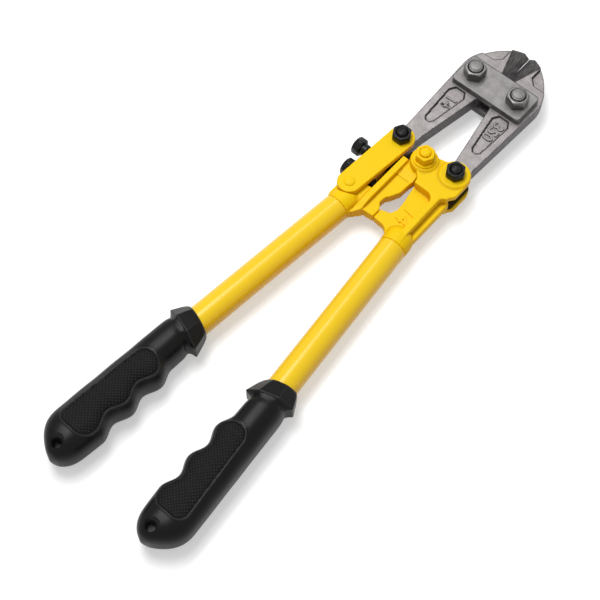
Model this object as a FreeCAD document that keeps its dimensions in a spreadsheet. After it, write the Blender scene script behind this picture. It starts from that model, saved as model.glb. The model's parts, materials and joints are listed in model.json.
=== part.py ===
"""Bolt cutters of the 350 mm class, lying flat, jaws towards +Y, made as separate solids.

Every sub-part is drawn about the centre pivot, in millimetres, with the tool's middle plane at
z = 0, and is then lifted and slid by one common shift, so that the finished part stands on z = 0
with its box centred on the origin. Sizes live in the sheet and reach the sketches as expressions.
"""
import FreeCAD, Part
import Sketcher
import math
import os

Vector = FreeCAD.Vector
doc = FreeCAD.newDocument("BoltCutters")
sheet = doc.addObject("Spreadsheet::Sheet", "Sizes")


class Size:
    """A number that remembers the sheet expression it came from."""

    def __init__(self, value, text):
        self.value = float(value)
        self.text = text

    def __add__(self, other):
        other = as_size(other)
        return Size(self.value + other.value, f"({self.text} + {other.text})")

    def __sub__(self, other):
        other = as_size(other)
        return Size(self.value - other.value, f"({self.text} - {other.text})")

    def __mul__(self, other):
        other = as_size(other)
        return Size(self.value * other.value, f"({self.text} * {other.text})")

    def __truediv__(self, other):
        other = as_size(other)
        return Size(self.value / other.value, f"({self.text} / {other.text})")

    def __radd__(self, other):
        return as_size(other) + self

    def __rsub__(self, other):
        return as_size(other) - self

    def __rmul__(self, other):
        return as_size(other) * self

    def __neg__(self):
        return Size(-self.value, f"(0 - {self.text})")


def as_size(number):
    return number if isinstance(number, Size) else Size(number, f"({float(number):.6f})")


def size(alias, value, note):
    """Put one driving dimension in the sheet and hand back its Size."""
    row = size.next_row
    size.next_row += 1
    sheet.set(f"A{row}", note)
    sheet.set(f"B{row}", str(value))
    sheet.setAlias(f"B{row}", alias)
    return Size(value, f"Sizes.{alias}")


size.next_row = 1

# ---- driving dimensions ------------------------------------------------------------------
# Linkage, seen from above with the centre pivot at x = 0, y = 0.
strap_span = size("strap_span", 14.9, "strap pivot, off the middle line")
strap_reach = size("strap_reach", 64.2, "strap pivots, ahead of the centre pivot")
tail_span = size("tail_span", 18.7, "jaw tail pivot, off the middle line")
tail_rise = size("tail_rise", 3.0, "jaw tail pivots, ahead of the centre pivot")
nose_reach = size("nose_reach", 98.5, "jaw nose, ahead of the centre pivot")

# Clearances.
run_gap = size("run_gap", 0.05, "radial play of a turning pivot")
fit_gap = size("fit_gap", 0.02, "radial play of a bolt in its own body")
face_gap = size("face_gap", 0.05, "play between stacked moving faces")
blade_gap = size("blade_gap", 0.3, "gap between the jaws at the knuckle")
slit_gap = size("slit_gap", 0.9, "gap between the jaws at the nose")

# Jaws.
jaw_thick = size("jaw_thick", 8.5, "jaw thickness")
jaw_half = size("jaw_half", 25.8, "jaw half width at the strap")
jaw_tail_outer = size("jaw_tail_outer", 23.4, "outer edge of the tail, off the middle line")
jaw_tail_inner = size("jaw_tail_inner", 11.9, "inner edge of the tail, off the middle line")
tail_end_radius = size("tail_end_radius", 6.0, "radius of the tail's eye")
slot_run = size("slot_run", 4.2, "travel of the left tail bolt in its slot")
slot_play = size("slot_play", 0.55, "half the slot's width beyond the bolt")
slot_rise = size("slot_rise", 0.46, "slot's middle line, ahead of the bolt")
slot_wall = size("slot_wall", 1.2, "wall outside the slot")
knuckle_relief = size("knuckle_relief", 0.9, "start of the jaws' relief, behind the strap pivots")
tail_neck = size("tail_neck", 10.7, "end of the tail's eye, ahead of its pivot")
shoulder_ahead = size("shoulder_ahead", 3.8, "jaw's widest place, ahead of the strap pivots")
shoulder_bend = size("shoulder_bend", 22.0, "radius of the jaw's back behind its corner")
back_step = size("back_step", 4.8, "corner of the jaw's back, inside its widest place")
back_corner = size("back_corner", 15.3, "corner of the jaw's back, behind the nose")
nose_bend = size("nose_bend", 38.0, "radius of the jaw's back ahead of its corner")
nose_half = size("nose_half", 3.9, "outer end of the nose, off the middle line")
hollow_half = size("hollow_half", 4.9, "front of the gap between the tails, off the middle line")
hollow_back = size("hollow_back", 11.2, "front of the gap between the tails, behind the strap pivots")
tag_margin = size("tag_margin", 0.9, "gap between the tail's panel and the strap")
tag_depth = size("tag_depth", 0.8, "depth of the tail's panel")
relief_in = size("relief_in", 10.2, "inner edge of the nose relief, off the middle line")
relief_back = size("relief_back", 16.5, "rear edge of the nose relief, behind the nose")
relief_corner = size("relief_corner", 4.0, "corner of the nose relief")
nose_depth = size("nose_depth", 1.2, "depth of the nose relief")
edge_land = size("edge_land", 0.3, "half thickness of the cutting edge")

# Strap.
strap_long = size("strap_long", 46.7, "strap plate length across the jaws")
strap_wide = size("strap_wide", 20.8, "strap plate width along the jaws")
strap_thick = size("strap_thick", 4.0, "strap plate thickness")
strap_bolt = size("strap_bolt", 8.0, "strap bolt diameter")
strap_hex = size("strap_hex", 11.7, "strap nut across flats")
strap_head = size("strap_head", 4.2, "strap bolt head height")
strap_nut = size("strap_nut", 6.2, "strap nut height")
strap_end = size("strap_end", 1.7, "strap bolt end above its nut")

# Pivot bolts of the handle heads.
pivot_bolt = size("pivot_bolt", 6.0, "tail and centre bolt diameter")
pivot_hex = size("pivot_hex", 10.0, "tail and centre nut across flats")
pivot_head = size("pivot_head", 3.5, "tail and centre bolt head height")
pivot_nut = size("pivot_nut", 5.0, "tail and centre nut height")
pivot_end = size("pivot_end", 1.2, "tail and centre bolt end above its nut")
washer_thick = size("washer_thick", 1.0, "centre washer thickness")
washer_radius = size("washer_radius", 6.7, "centre washer radius")

# Right handle head: a fork.
ear_top = size("ear_top", 7.9, "outer face of the ears above the middle plane")
ear_radius = size("ear_radius", 9.0, "ear radius about the tail pivot")
hub_radius = size("hub_radius", 7.9, "ear radius about the centre pivot")
boss_rise = size("boss_rise", 1.0, "raised boss round a pivot")
slot_floor = size("slot_floor", 6.6, "fork slot's floor, behind the centre pivot")
plate_back = size("plate_back", 14.9, "back edge of the fork's plate")
web_half = size("web_half", 2.6, "half thickness of the right web")

# Left handle head: a tongue.
tongue_radius = size("tongue_radius", 7.0, "tongue radius about the centre pivot")
left_web_half = size("left_web_half", 3.0, "half thickness of the left web")
left_rib_half = size("left_rib_half", 6.0, "half thickness of the left rib")
left_rib_wall = size("left_rib_wall", 3.8, "left rib's wall")
left_rib_in = size("left_rib_in", 0.5, "left rib's inner face, inside the fork's hub radius")
stop_gap = size("stop_gap", 0.3, "gap left between the two heads' stop faces")
stop_back = size("stop_back", 43.8, "back end of the stop faces")

# Adjuster.
link_thick = size("link_thick", 4.0, "link plate thickness")
link_nose = size("link_nose", 7.6, "link plate radius about the tail bolt")
link_rear = size("link_rear", 6.9, "link plate radius about the rivet")
rivet_span = size("rivet_span", 22.0, "rivet, off the middle line")
rivet_back = size("rivet_back", 37.7, "rivet, behind the centre pivot")
rivet_radius = size("rivet_radius", 2.8, "rivet shank radius")
block_inset = size("block_inset", 0.7, "outer face of the screw block, inside the link plates' edge")
block_inner = size("block_inner", 15.0, "inner face of the screw block")
block_front = size("block_front", 8.2, "front face of the screw block")
block_rear = size("block_rear", 30.0, "rear face of the screw block")
push_back = size("push_back", 12.4, "adjusting screw, behind the centre pivot")
push_radius = size("push_radius", 3.0, "adjusting screw shank radius")
push_collar = size("push_collar", 0.6, "adjusting screw's collar, radius beyond its shank")
push_collar_long = size("push_collar_long", 3.2, "adjusting screw's collar, below its head")
lock_back = size("lock_back", 27.1, "lock screw, behind the centre pivot")
lock_radius = size("lock_radius", 3.0, "lock screw shank radius")
screw_hex = size("screw_hex", 9.4, "adjusting and lock screw heads across flats")
screw_head = size("screw_head", 5.0, "adjusting and lock screw head height")
push_stand = size("push_stand", 33.1, "underside of the adjusting screw's head, off the middle line")
lock_stand_off = size("lock_stand_off", 0.6, "underside of the lock screw's head, off the screw block")
lock_play = size("lock_play", 0.4, "radial play of the lock screw in the block")
lock_bite = size("lock_bite", 3.0, "depth of the lock screw in the left rib")

# Handles.
tube_radius = size("tube_radius", 8.0, "handle tube outer radius")
tube_wall = size("tube_wall", 1.8, "handle tube wall")
collar_step = size("collar_step", 0.2, "forged collar's radius beyond the tube's")
collar_long = size("collar_long", 5.0, "straight length of the forged collar")
spigot_long = size("spigot_long", 26.0, "length of the head's spigot inside the tube")
seam_back = size("seam_back", 50.8, "seam between head and tube, behind the centre pivot")
seam_span = size("seam_span", 19.4, "tube axis at the seam, off the middle line")
splay = size("splay", 5.37, "angle of each tube to the middle line")
tube_long = size("tube_long", 184.0, "tube length from the seam")
grip_plug = size("grip_plug", 21.4, "solid end of the grip, behind the tube")
grip_long = size("grip_long", 104.0, "grip length along the tool")
grip_top_wall = size("grip_top_wall", 4.3, "grip's wall above the tube")
grip_front_wall = size("grip_front_wall", 2.93, "grip's mean wall before the tube, at the first hollow")
grip_back_wall = size("grip_back_wall", 2.6, "grip's wall behind the tube")
grip_blend = size("grip_blend", 22.0, "length of the grip's rounded end")
wave_start = size("wave_start", 76.6, "first hollow of the finger waves, from the grip's end")
wave_long = size("wave_long", 20.6, "pitch of the finger waves")
wave_deep = size("wave_deep", 1.7, "half depth of the finger waves")
wave_count = size("wave_count", 2.5, "finger waves on a grip")
rim_wall = size("rim_wall", 5.1, "grip flange's wall beside the tube")
rim_top_wall = size("rim_top_wall", 4.5, "grip flange's wall above the tube")
rim_back = size("rim_back", 9.6, "widest place of the flange, from the grip's mouth")
neck_back = size("neck_back", 3.6, "grip's neck, from the widest place of the flange")
rim_slant = size("rim_slant", 17.0, "angle of the flange to a square cut across the tool")
mouth_wall = size("mouth_wall", 1.0, "wall of the grip at its mouth")
hang_radius = size("hang_radius", 2.5, "hanging hole radius")
hang_in = size("hang_in", 5.96, "hanging hole, inside the tube's axis")
hang_ahead = size("hang_ahead", 7.2, "hanging hole, ahead of the grip's end")
hang_wall = size("hang_wall", 2.2, "flat land round the hanging hole")
hang_sink = size("hang_sink", 3.3, "depth of the flat land below the grip's top")

doc.recompute()

half_thick = jaw_thick / 2
plate_low = half_thick + face_gap
strap_top = plate_low + strap_thick
link_top = plate_low + link_thick
boss_top = ear_top + boss_rise
lift = strap_top + strap_head
tongue_half = half_thick - face_gap
left_rib_inner = hub_radius - left_rib_in
left_rib_outer = left_rib_inner + left_rib_wall
block_outer = rivet_span + link_rear - block_inset
lock_stand = block_outer + lock_stand_off
collar_radius = tube_radius + collar_step
grip_end = seam_back + tube_long * math.cos(math.radians(splay.value)) + grip_plug
slide = (grip_end - nose_reach) / 2
corner_share = 1 / math.cos(math.radians(30))


# ---- helpers -----------------------------------------------------------------------------
def bind(item, path, amount):
    """Tie a property to the sheet."""
    item.setExpression(path, as_size(amount).text)


def new_body(name, x=0.0, y=0.0, turn=None):
    """A body seated in the finished part's frame; x and y are counted from the centre pivot."""
    body = doc.addObject("PartDesign::Body", name)
    body.Label = name
    seat(body, x, y, turn)
    return body


def seat(item, x=0.0, y=0.0, turn=None):
    x, y = as_size(x), as_size(y) + slide
    item.Placement = FreeCAD.Placement(Vector(x.value, y.value, lift.value), turn or FreeCAD.Rotation())
    bind(item, ".Placement.Base.x", x)
    bind(item, ".Placement.Base.y", y)
    bind(item, ".Placement.Base.z", lift)


def blank_sketch(body, name, plane="XY_Plane", x=0.0, y=0.0, z=0.0, turn=None):
    """An empty sketch on one of the body's origin planes, moved by x, y, z in that plane's axes."""
    sketch = body.newObject("Sketcher::SketchObject", name)
    support = [item for item in body.Origin.OriginFeatures if item.Role == plane][0]
    sketch.AttachmentSupport = [(support, "")]
    sketch.MapMode = "FlatFace"
    place = [as_size(amount) for amount in (x, y, z)]
    base = Vector(*[amount.value for amount in place])
    sketch.AttachmentOffset = FreeCAD.Placement(base, turn or FreeCAD.Rotation())
    for axis, amount in zip("xyz", place):
        bind(sketch, f".AttachmentOffset.Base.{axis}", amount)
    return sketch


def constrain(sketch, amount, *what):
    index = sketch.addConstraint(Sketcher.Constraint(*what, amount.value))
    if "Sizes." in amount.text:
        bind(sketch, f"Constraints[{index}]", amount)


def arc_between(start, end, bend):
    """The short arc from start to end: bend is its radius, positive where the path turns left."""
    chord = end - start
    radius = abs(bend)
    rise = math.sqrt(max(radius ** 2 - (chord.Length / 2) ** 2, 0.0))
    left = Vector(-chord.y, chord.x, 0).normalize()
    centre = (start + end) / 2 + left * (rise if bend > 0 else -rise)
    first, last = (start, end) if bend > 0 else (end, start)
    low = math.atan2(first.y - centre.y, first.x - centre.x)
    high = math.atan2(last.y - centre.y, last.x - centre.x)
    circle = Part.Circle(centre, Vector(0, 0, 1), radius)
    return Part.ArcOfCircle(circle, low, high if high > low else high + 2 * math.pi)


def outline(sketch, corners):
    """Draw a closed outline. A corner is (x, y) or (x, y, bend of the run that leaves it)."""
    corners = [tuple(as_size(part) for part in corner) for corner in corners]
    points = [Vector(corner[0].value, corner[1].value, 0) for corner in corners]
    ends = []
    for index, corner in enumerate(corners):
        start, end = points[index], points[(index + 1) % len(points)]
        if len(corner) == 2:
            edge = sketch.addGeometry(Part.LineSegment(start, end))
            ends.append((edge, 1, 2))
        else:
            edge = sketch.addGeometry(arc_between(start, end, corner[2].value))
            ends.append((edge, 1, 2) if corner[2].value > 0 else (edge, 2, 1))
    for index, corner in enumerate(corners):
        edge, first, last = ends[index]
        after, after_first, _ = ends[(index + 1) % len(ends)]
        sketch.addConstraint(Sketcher.Constraint("Coincident", edge, last, after, after_first))
        constrain(sketch, corner[0], "DistanceX", edge, first)
        constrain(sketch, corner[1], "DistanceY", edge, first)
        if len(corner) == 3:
            radius = corner[2] if corner[2].value > 0 else -corner[2]
            constrain(sketch, radius, "Radius", edge)
    return sketch


def circle(sketch, radius, x=0.0, y=0.0):
    x, y, radius = as_size(x), as_size(y), as_size(radius)
    ring = sketch.addGeometry(Part.Circle(Vector(x.value, y.value, 0), Vector(0, 0, 1), radius.value))
    constrain(sketch, x, "DistanceX", ring, 3)
    constrain(sketch, y, "DistanceY", ring, 3)
    constrain(sketch, radius, "Radius", ring)
    return sketch


def mirrored(corners, side):
    """The same outline on the right (side 1) or on the left (side -1)."""
    if side > 0:
        return corners
    return [(-as_size(corner[0]), corner[1]) + tuple(-as_size(bend) for bend in corner[2:])
            for corner in corners]


def pad(body, name, sketch, length, way="One side"):
    feature = body.newObject("PartDesign::Pad", name)
    feature.Profile = sketch
    feature.SideType = "Symmetric" if way == "Symmetric" else "One side"
    feature.Reversed = way == "Reversed"
    bind(feature, "Length", length)
    return feature


def cut(body, name, sketch, length=None, way="Symmetric"):
    """A pocket; with no length it goes through everything. The body must lose volume by it."""
    doc.recompute()
    before = body.Shape.Volume
    feature = body.newObject("PartDesign::Pocket", name)
    feature.Profile = sketch
    feature.SideType = "Symmetric" if way == "Symmetric" else "One side"
    feature.Reversed = way == "Reversed"
    if length is None:
        feature.Type = "ThroughAll"
    else:
        bind(feature, "Length", length)
    doc.recompute()
    if body.Shape.Volume > before - 1e-3:
        raise RuntimeError(f"{name} cuts nothing")
    return feature


def turned(body, name, sketch, kind="PartDesign::Revolution"):
    """A full turn of the profile about the sketch's own upright axis."""
    feature = body.newObject(kind, name)
    feature.Profile = sketch
    feature.ReferenceAxis = (sketch, ["V_Axis"])
    feature.Angle = 360
    return feature


def hexagon(sketch, across):
    """A hexagon by its size across flats, with a flat facing the sketch's upright axis."""
    corner = across * (corner_share / 2)
    angles = [math.radians(60 * step) for step in range(6)]
    return outline(sketch, [(corner * math.cos(angle), corner * math.sin(angle)) for angle in angles])


def corner_chamfer(body, name, across, z, up):
    """Trim the corners of a hexagon whose end face is at height z and looks up or down."""
    flat = across * 0.48
    wide = across * 0.66
    drop = (wide - flat) * math.tan(math.radians(30)) * up
    over = as_size(z) + 0.5 * up
    sketch = blank_sketch(body, name + "_profile", "XZ_Plane")
    outline(sketch, [(flat, z), (flat, over), (wide, over), (wide, z - drop)])
    turned(body, name, sketch, "PartDesign::Groove")


# ---- fasteners ---------------------------------------------------------------------------
def hex_nut(name, x, y, low, across, height, bolt, spin=0.0):
    body = new_body(name, x, y, FreeCAD.Rotation(Vector(0, 0, 1), spin))
    pad(body, name + "_hexagon", hexagon(blank_sketch(body, name + "_flats", z=low), across), height)
    bore = circle(blank_sketch(body, name + "_bore"), bolt / 2 + fit_gap)
    cut(body, name + "_hole", bore)
    corner_chamfer(body, name + "_top", across, low + height, 1)
    corner_chamfer(body, name + "_foot", across, low, -1)
    return body


def hex_bolt(name, x, y, seat_low, head, across, bolt, end, spin=0.0):
    """A bolt with its head below seat_low and its shank standing up to end."""
    body = new_body(name, x, y, FreeCAD.Rotation(Vector(0, 0, 1), spin))
    bottom = seat_low - head
    pad(body, name + "_head", hexagon(blank_sketch(body, name + "_flats", z=bottom), across), head)
    corner_chamfer(body, name + "_foot", across, bottom, -1)
    tip = bolt / 2
    bevel = 0.8
    profile = blank_sketch(body, name + "_profile", "XZ_Plane")
    outline(profile, [(0, seat_low - head / 2), (tip, seat_low - head / 2), (tip, end - bevel),
                      (tip - bevel, end), (0, end)])
    turned(body, name + "_shank", profile)
    return body


def side_screw(name, y, outer, head, across, radius, tip, collar=None):
    """A screw along +X: hexagon head at the outside, shank running in to tip."""
    body = new_body(name, -outer, -y, FreeCAD.Rotation(Vector(0, 1, 0), 90))
    pad(body, name + "_head", hexagon(blank_sketch(body, name + "_flats"), across), head)
    corner_chamfer(body, name + "_face", across, 0, -1)
    long = outer - tip
    bevel = 0.6
    steps = [(0, head / 2), (radius, head / 2), (radius, long - bevel), (radius - bevel, long), (0, long)]
    if collar is not None:
        collar_wide, collar_end = collar
        steps[1:2] = [(collar_wide, head / 2), (collar_wide, collar_end), (radius, collar_end)]
    turned(body, name + "_shank", outline(blank_sketch(body, name + "_profile", "XZ_Plane"), steps))
    return body


# ---- jaws and strap ----------------------------------------------------------------------
def jaw(name, side):
    """A forged jaw: blade ahead of the strap, tapered tail behind it, eye at the tail's end."""
    body = new_body(name)
    eye = tail_end_radius
    eye_low = tail_rise - eye
    eye_edge = [(tail_span - eye, tail_rise, eye)]
    if side > 0:
        eye_edge += [(tail_span, eye_low, eye), (tail_span + eye, tail_rise)]
    else:
        slot_end = tail_span + slot_run
        eye_edge += [(tail_span, eye_low), (slot_end, eye_low, eye),
                     (slot_end + pivot_bolt / 2 + slot_play + slot_wall, tail_rise)]
    neck = tail_rise + tail_neck
    corner = (jaw_half - back_step, nose_reach - back_corner)
    edge = eye_edge + [
        (jaw_tail_outer, neck), (jaw_half, strap_reach + shoulder_ahead, shoulder_bend),
        (*corner, nose_bend), (nose_half, nose_reach), (slit_gap / 2, nose_reach),
        (blade_gap / 2, strap_reach + strap_wide / 2), (blade_gap / 2, strap_reach - knuckle_relief),
        (hollow_half, strap_reach - hollow_back), (jaw_tail_inner, neck),
    ]
    profile = outline(blank_sketch(body, name + "_edge"), mirrored(edge, side))
    pad(body, name + "_blank", profile, jaw_thick, "Symmetric")

    tag_front = strap_reach - strap_wide / 2 - tag_margin
    tag_shoulder, tag_heel, tag_rear = tag_front - 3.9, tag_front - 27.3, tag_front - 29.3
    tag = [(12.2, tag_front), (9.9, tag_shoulder), (13.6, tag_heel), (15.2, tag_rear),
           (17.8, tag_rear), (19.5, tag_heel), (20.9, tag_shoulder), (18.6, tag_front)]
    relief_y = nose_reach - relief_back
    past_nose, past_side = nose_reach + 1, jaw_half + 1
    relief = [(relief_in, past_nose), (relief_in, relief_y + relief_corner),
              (relief_in + relief_corner, relief_y), (past_side, relief_y), (past_side, past_nose)]
    for face, up in (("top", 1), ("foot", -1)):
        way = "One side" if up > 0 else "Reversed"
        level = half_thick * up
        panel = outline(blank_sketch(body, f"{name}_{face}_panel_edge", z=level), mirrored(tag, side))
        cut(body, f"{name}_{face}_panel", panel, tag_depth, way)
        corner = outline(blank_sketch(body, f"{name}_{face}_relief_edge", z=level),
                         mirrored(relief, side))
        cut(body, f"{name}_{face}_relief", corner, nose_depth, way)
        blade_bevel(body, f"{name}_{face}", side, up)

    pivot = circle(blank_sketch(body, name + "_pivot"), strap_bolt / 2 + run_gap,
                   strap_span * side, strap_reach)
    cut(body, name + "_pivot_hole", pivot)
    hole = blank_sketch(body, name + "_eye")
    if side > 0:
        circle(hole, pivot_bolt / 2 + run_gap, tail_span, tail_rise)
    else:
        half = pivot_bolt / 2 + slot_play
        middle = tail_rise + slot_rise
        near, far = -tail_span, -(tail_span + slot_run)
        outline(hole, [(near, middle - half, half), (near + half, middle, half),
                       (near, middle + half), (far, middle + half, half),
                       (far - half, middle, half), (far, middle - half)])
    cut(body, name + "_eye_hole", hole)
    return body


def blade_bevel(body, name, side, up):
    """Grind one face of the blade: a steep facet at the edge and a shallow one behind it."""
    facet_x, facet_z = 3.2, 2.6
    past_edge, above = -1.0, (half_thick + 0.5) * up
    sections = []
    for label, y, spread in (("heel", strap_reach + 9.8, 3.59), ("nose", nose_reach + 1.5, 14.77)):
        sketch = blank_sketch(body, f"{name}_{label}_bevel", "XZ_Plane", z=-y)
        corners = [(past_edge, edge_land * up), (blade_gap / 2, edge_land * up),
                   (facet_x, facet_z * up), (spread, above), (past_edge, above)]
        sections.append(outline(sketch, mirrored(corners, side)))
    grind = body.newObject("PartDesign::SubtractiveLoft", name + "_grind")
    grind.Profile = sections[0]
    grind.Sections = [sections[1]]
    grind.Ruled = True
    return grind


def strap_plate(name, up):
    body = new_body(name)
    half_long, half_wide = strap_long / 2, strap_wide / 2
    round_off = 2.0
    corners = [
        (half_long, strap_reach + half_wide - round_off, round_off),
        (half_long - round_off, strap_reach + half_wide),
        (round_off - half_long, strap_reach + half_wide, round_off),
        (-half_long, strap_reach + half_wide - round_off),
        (-half_long, strap_reach - half_wide + round_off, round_off),
        (round_off - half_long, strap_reach - half_wide),
        (half_long - round_off, strap_reach - half_wide, round_off),
        (half_long, strap_reach - half_wide + round_off),
    ]
    sketch = outline(blank_sketch(body, name + "_edge", z=plate_low * up), corners)
    for side in (-1, 1):
        circle(sketch, strap_bolt / 2 + fit_gap, strap_span * side, strap_reach)
    pad(body, name + "_plate", sketch, strap_thick, "One side" if up > 0 else "Reversed")
    return body


# ---- handle heads ------------------------------------------------------------------------
def collar(body, name, side):
    """The forged collar at the seam, its blunt nose, and the spigot that the tube slides on."""
    sketch = blank_sketch(body, name + "_collar_edge", x=seam_span * side, y=-seam_back,
                          turn=FreeCAD.Rotation(Vector(0, 0, 1), splay.value * side))
    inner = tube_radius - tube_wall - run_gap
    nose = collar_radius
    outline(sketch, [(0, -spigot_long), (inner, -spigot_long), (inner, 0), (nose, 0),
                     (nose, collar_long, nose), (0, collar_long + nose)])
    return turned(body, name + "_collar", sketch)


def fork_head(name):
    """Right handle head: two ears round the slot, a rib, and a recessed web."""
    body = new_body(name)
    rib_outer, rib_inner, strip_outer = 22.0, 18.4, 26.0
    web_inner = 4.9
    ear_outer = tail_span + ear_radius
    ear_foot = -plate_back + 2.6
    aside, ahead = math.sin(math.radians(60)), math.cos(math.radians(60))
    hub_turn = math.radians(50)
    plate = [
        (web_inner, -plate_back), (rib_inner, -plate_back), (rib_outer, ear_foot),
        (ear_outer - 3.5, ear_foot), (ear_outer, ear_foot + 4.8), (ear_outer, tail_rise, ear_radius),
        (tail_span, tail_rise + ear_radius, ear_radius),
        (tail_span - ear_radius * aside, tail_rise + ear_radius * ahead),
        (hub_radius * math.cos(hub_turn), hub_radius * math.sin(hub_turn), hub_radius),
        (-hub_radius * ahead, hub_radius * aside, hub_radius), (-hub_radius, 0, hub_radius),
        (-hub_radius * ahead, -hub_radius * aside, hub_radius), (0.6, -hub_radius - 0.2),
        (web_inner - 0.8, -hub_radius - 3.3),
    ]
    pad(body, name + "_plate", outline(blank_sketch(body, name + "_plate_edge"), plate),
        ear_top * 2, "Symmetric")
    web = [
        (stop_gap / 2, -37.5), (stop_gap / 2, -stop_back), (7.0, -stop_back - 0.5, -6.5),
        (11.4, -seam_back - 1), (24.0, -seam_back - 1), (strip_outer, -seam_back + 4),
        (strip_outer, -10.0), (web_inner, -10.0), (web_inner, -15.8), (6.6, -25.2), (7.2, -31.5),
        (5.6, -35.7),
    ]
    pad(body, name + "_web", outline(blank_sketch(body, name + "_web_edge"), web),
        web_half * 2, "Symmetric")
    rib = [(rib_inner, -seam_back + 2), (rib_outer + 0.5, -seam_back + 2), (rib_outer, -12.0),
           (rib_inner, -12.0)]
    pad(body, name + "_rib", outline(blank_sketch(body, name + "_rib_edge"), rib),
        ear_top * 2, "Symmetric")
    tail_boss = circle(blank_sketch(body, name + "_tail_boss_edge"), ear_radius - 0.4,
                       tail_span, tail_rise)
    pad(body, name + "_tail_boss", tail_boss, boss_top * 2, "Symmetric")
    hub_boss = circle(blank_sketch(body, name + "_hub_boss_edge"), hub_radius - 0.2)
    pad(body, name + "_hub_boss", hub_boss, boss_top * 2, "Symmetric")
    collar(body, name, 1)
    slot_left, slot_step, slot_end, past = 3.9, 15.0, -30, 40
    slot_rear = -slot_floor - 3.9
    slot = [(-past, slot_end), (slot_left, slot_end), (slot_left, -slot_floor),
            (slot_step, -slot_floor), (rib_outer, slot_rear), (past, slot_rear), (past, past),
            (-past, past)]
    cut(body, name + "_slot", outline(blank_sketch(body, name + "_slot_edge"), slot),
        plate_low * 2)
    holes = blank_sketch(body, name + "_pivots")
    circle(holes, pivot_bolt / 2 + fit_gap, tail_span, tail_rise)
    circle(holes, pivot_bolt / 2 + fit_gap)
    cut(body, name + "_pivot_holes", holes)
    return body


def tongue_head(name):
    """Left handle head: a tongue in the fork, a rib, a web, and the seat of the adjuster's link."""
    body = new_body(name)
    hub = tongue_radius
    hub_turn = math.radians(64.6)
    web_inner, rib_front = 2.4, -4.2
    tongue = [
        (hub * math.cos(hub_turn), -hub * math.sin(hub_turn), hub), (hub, 0, hub), (0, hub, hub),
        (-hub, 0), (-left_rib_inner, rib_front), (-left_rib_outer, rib_front),
        (-left_rib_outer, -14.0), (web_inner, -14.0),
    ]
    pad(body, name + "_tongue", outline(blank_sketch(body, name + "_tongue_edge"), tongue),
        tongue_half * 2, "Symmetric")
    web = [
        (web_inner, -12.0), (-left_rib_outer, -12.0), (-left_rib_outer, -seam_back - 1, -6.5),
        (-7.0, -stop_back - 0.5), (-stop_gap / 2, -stop_back), (-stop_gap / 2, -37.9), (-3.0, -34.3),
        (-2.5, -30.0), (-0.9, -27.9), (1.8, -22.2),
    ]
    pad(body, name + "_web", outline(blank_sketch(body, name + "_web_edge"), web),
        left_web_half * 2, "Symmetric")
    rib = [(-left_rib_inner, rib_front), (-left_rib_outer, rib_front),
           (-left_rib_outer, -seam_back + 1), (-left_rib_inner, -seam_back + 6)]
    pad(body, name + "_rib", outline(blank_sketch(body, name + "_rib_edge"), rib),
        left_rib_half * 2, "Symmetric")
    seat_front = block_rear + 0.9
    seat_outer = rivet_span + 5.4
    seat_inner = left_rib_outer - 1.2
    link_seat = [(-seat_inner, -seat_front), (-seat_outer, -seat_front),
                 (-seat_outer, -seam_back + 2), (-seat_inner, -seam_back + 2)]
    pad(body, name + "_seat", outline(blank_sketch(body, name + "_seat_edge"), link_seat),
        tongue_half * 2, "Symmetric")
    collar(body, name, -1)
    clear = link_rear + 0.4
    front = -block_rear
    recess = [(-rivet_span + clear, front), (-rivet_span + clear, -rivet_back, -clear),
              (-rivet_span, -rivet_back - clear, -clear), (-rivet_span - clear, -rivet_back),
              (-rivet_span - clear, front)]
    for face, up in (("top", 1), ("foot", -1)):
        level = blank_sketch(body, f"{name}_{face}_recess_edge", z=tongue_half * up)
        cut(body, f"{name}_{face}_recess", outline(level, recess), collar_radius,
            "Reversed" if up > 0 else "One side")
    holes = blank_sketch(body, name + "_pivots")
    circle(holes, pivot_bolt / 2 + run_gap)
    circle(holes, rivet_radius + run_gap, -rivet_span, -rivet_back)
    cut(body, name + "_pivot_holes", holes)
    tapped = blank_sketch(body, name + "_tapped_edge", "YZ_Plane", z=-left_rib_outer)
    circle(tapped, lock_radius + fit_gap * 2, -lock_back, 0)
    cut(body, name + "_tapped_hole", tapped, lock_bite + 0.3, "Reversed")
    return body


# ---- adjuster ----------------------------------------------------------------------------
def link_plate(name, up):
    """A flat link from the left tail bolt back to the rivet."""
    body = new_body(name)
    front_x, front_y, back_x, back_y = -tail_span, tail_rise, -rivet_span, -rivet_back
    corners = [
        (front_x + link_nose, front_y, link_nose), (front_x, front_y + link_nose, link_nose),
        (front_x - link_nose, front_y), (back_x - link_rear, back_y, link_rear),
        (back_x, back_y - link_rear, link_rear), (back_x + link_rear, back_y),
    ]
    sketch = outline(blank_sketch(body, name + "_edge", z=plate_low * up), corners)
    circle(sketch, pivot_bolt / 2 + fit_gap, front_x, front_y)
    circle(sketch, rivet_radius + fit_gap, back_x, back_y)
    pad(body, name + "_plate", sketch, link_thick, "One side" if up > 0 else "Reversed")
    return body


def rivet(name):
    body = new_body(name, -rivet_span, -rivet_back)
    dome = 0.8
    head_radius = rivet_radius + 0.3
    profile = blank_sketch(body, name + "_profile", "XZ_Plane")
    outline(profile, [
        (0, -link_top - dome), (rivet_radius - dome, -link_top - dome), (head_radius, -link_top),
        (rivet_radius, -link_top), (rivet_radius, link_top), (head_radius, link_top),
        (rivet_radius - dome, link_top + dome), (0, link_top + dome),
    ])
    turned(body, name + "_turned", profile)
    return body


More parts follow.
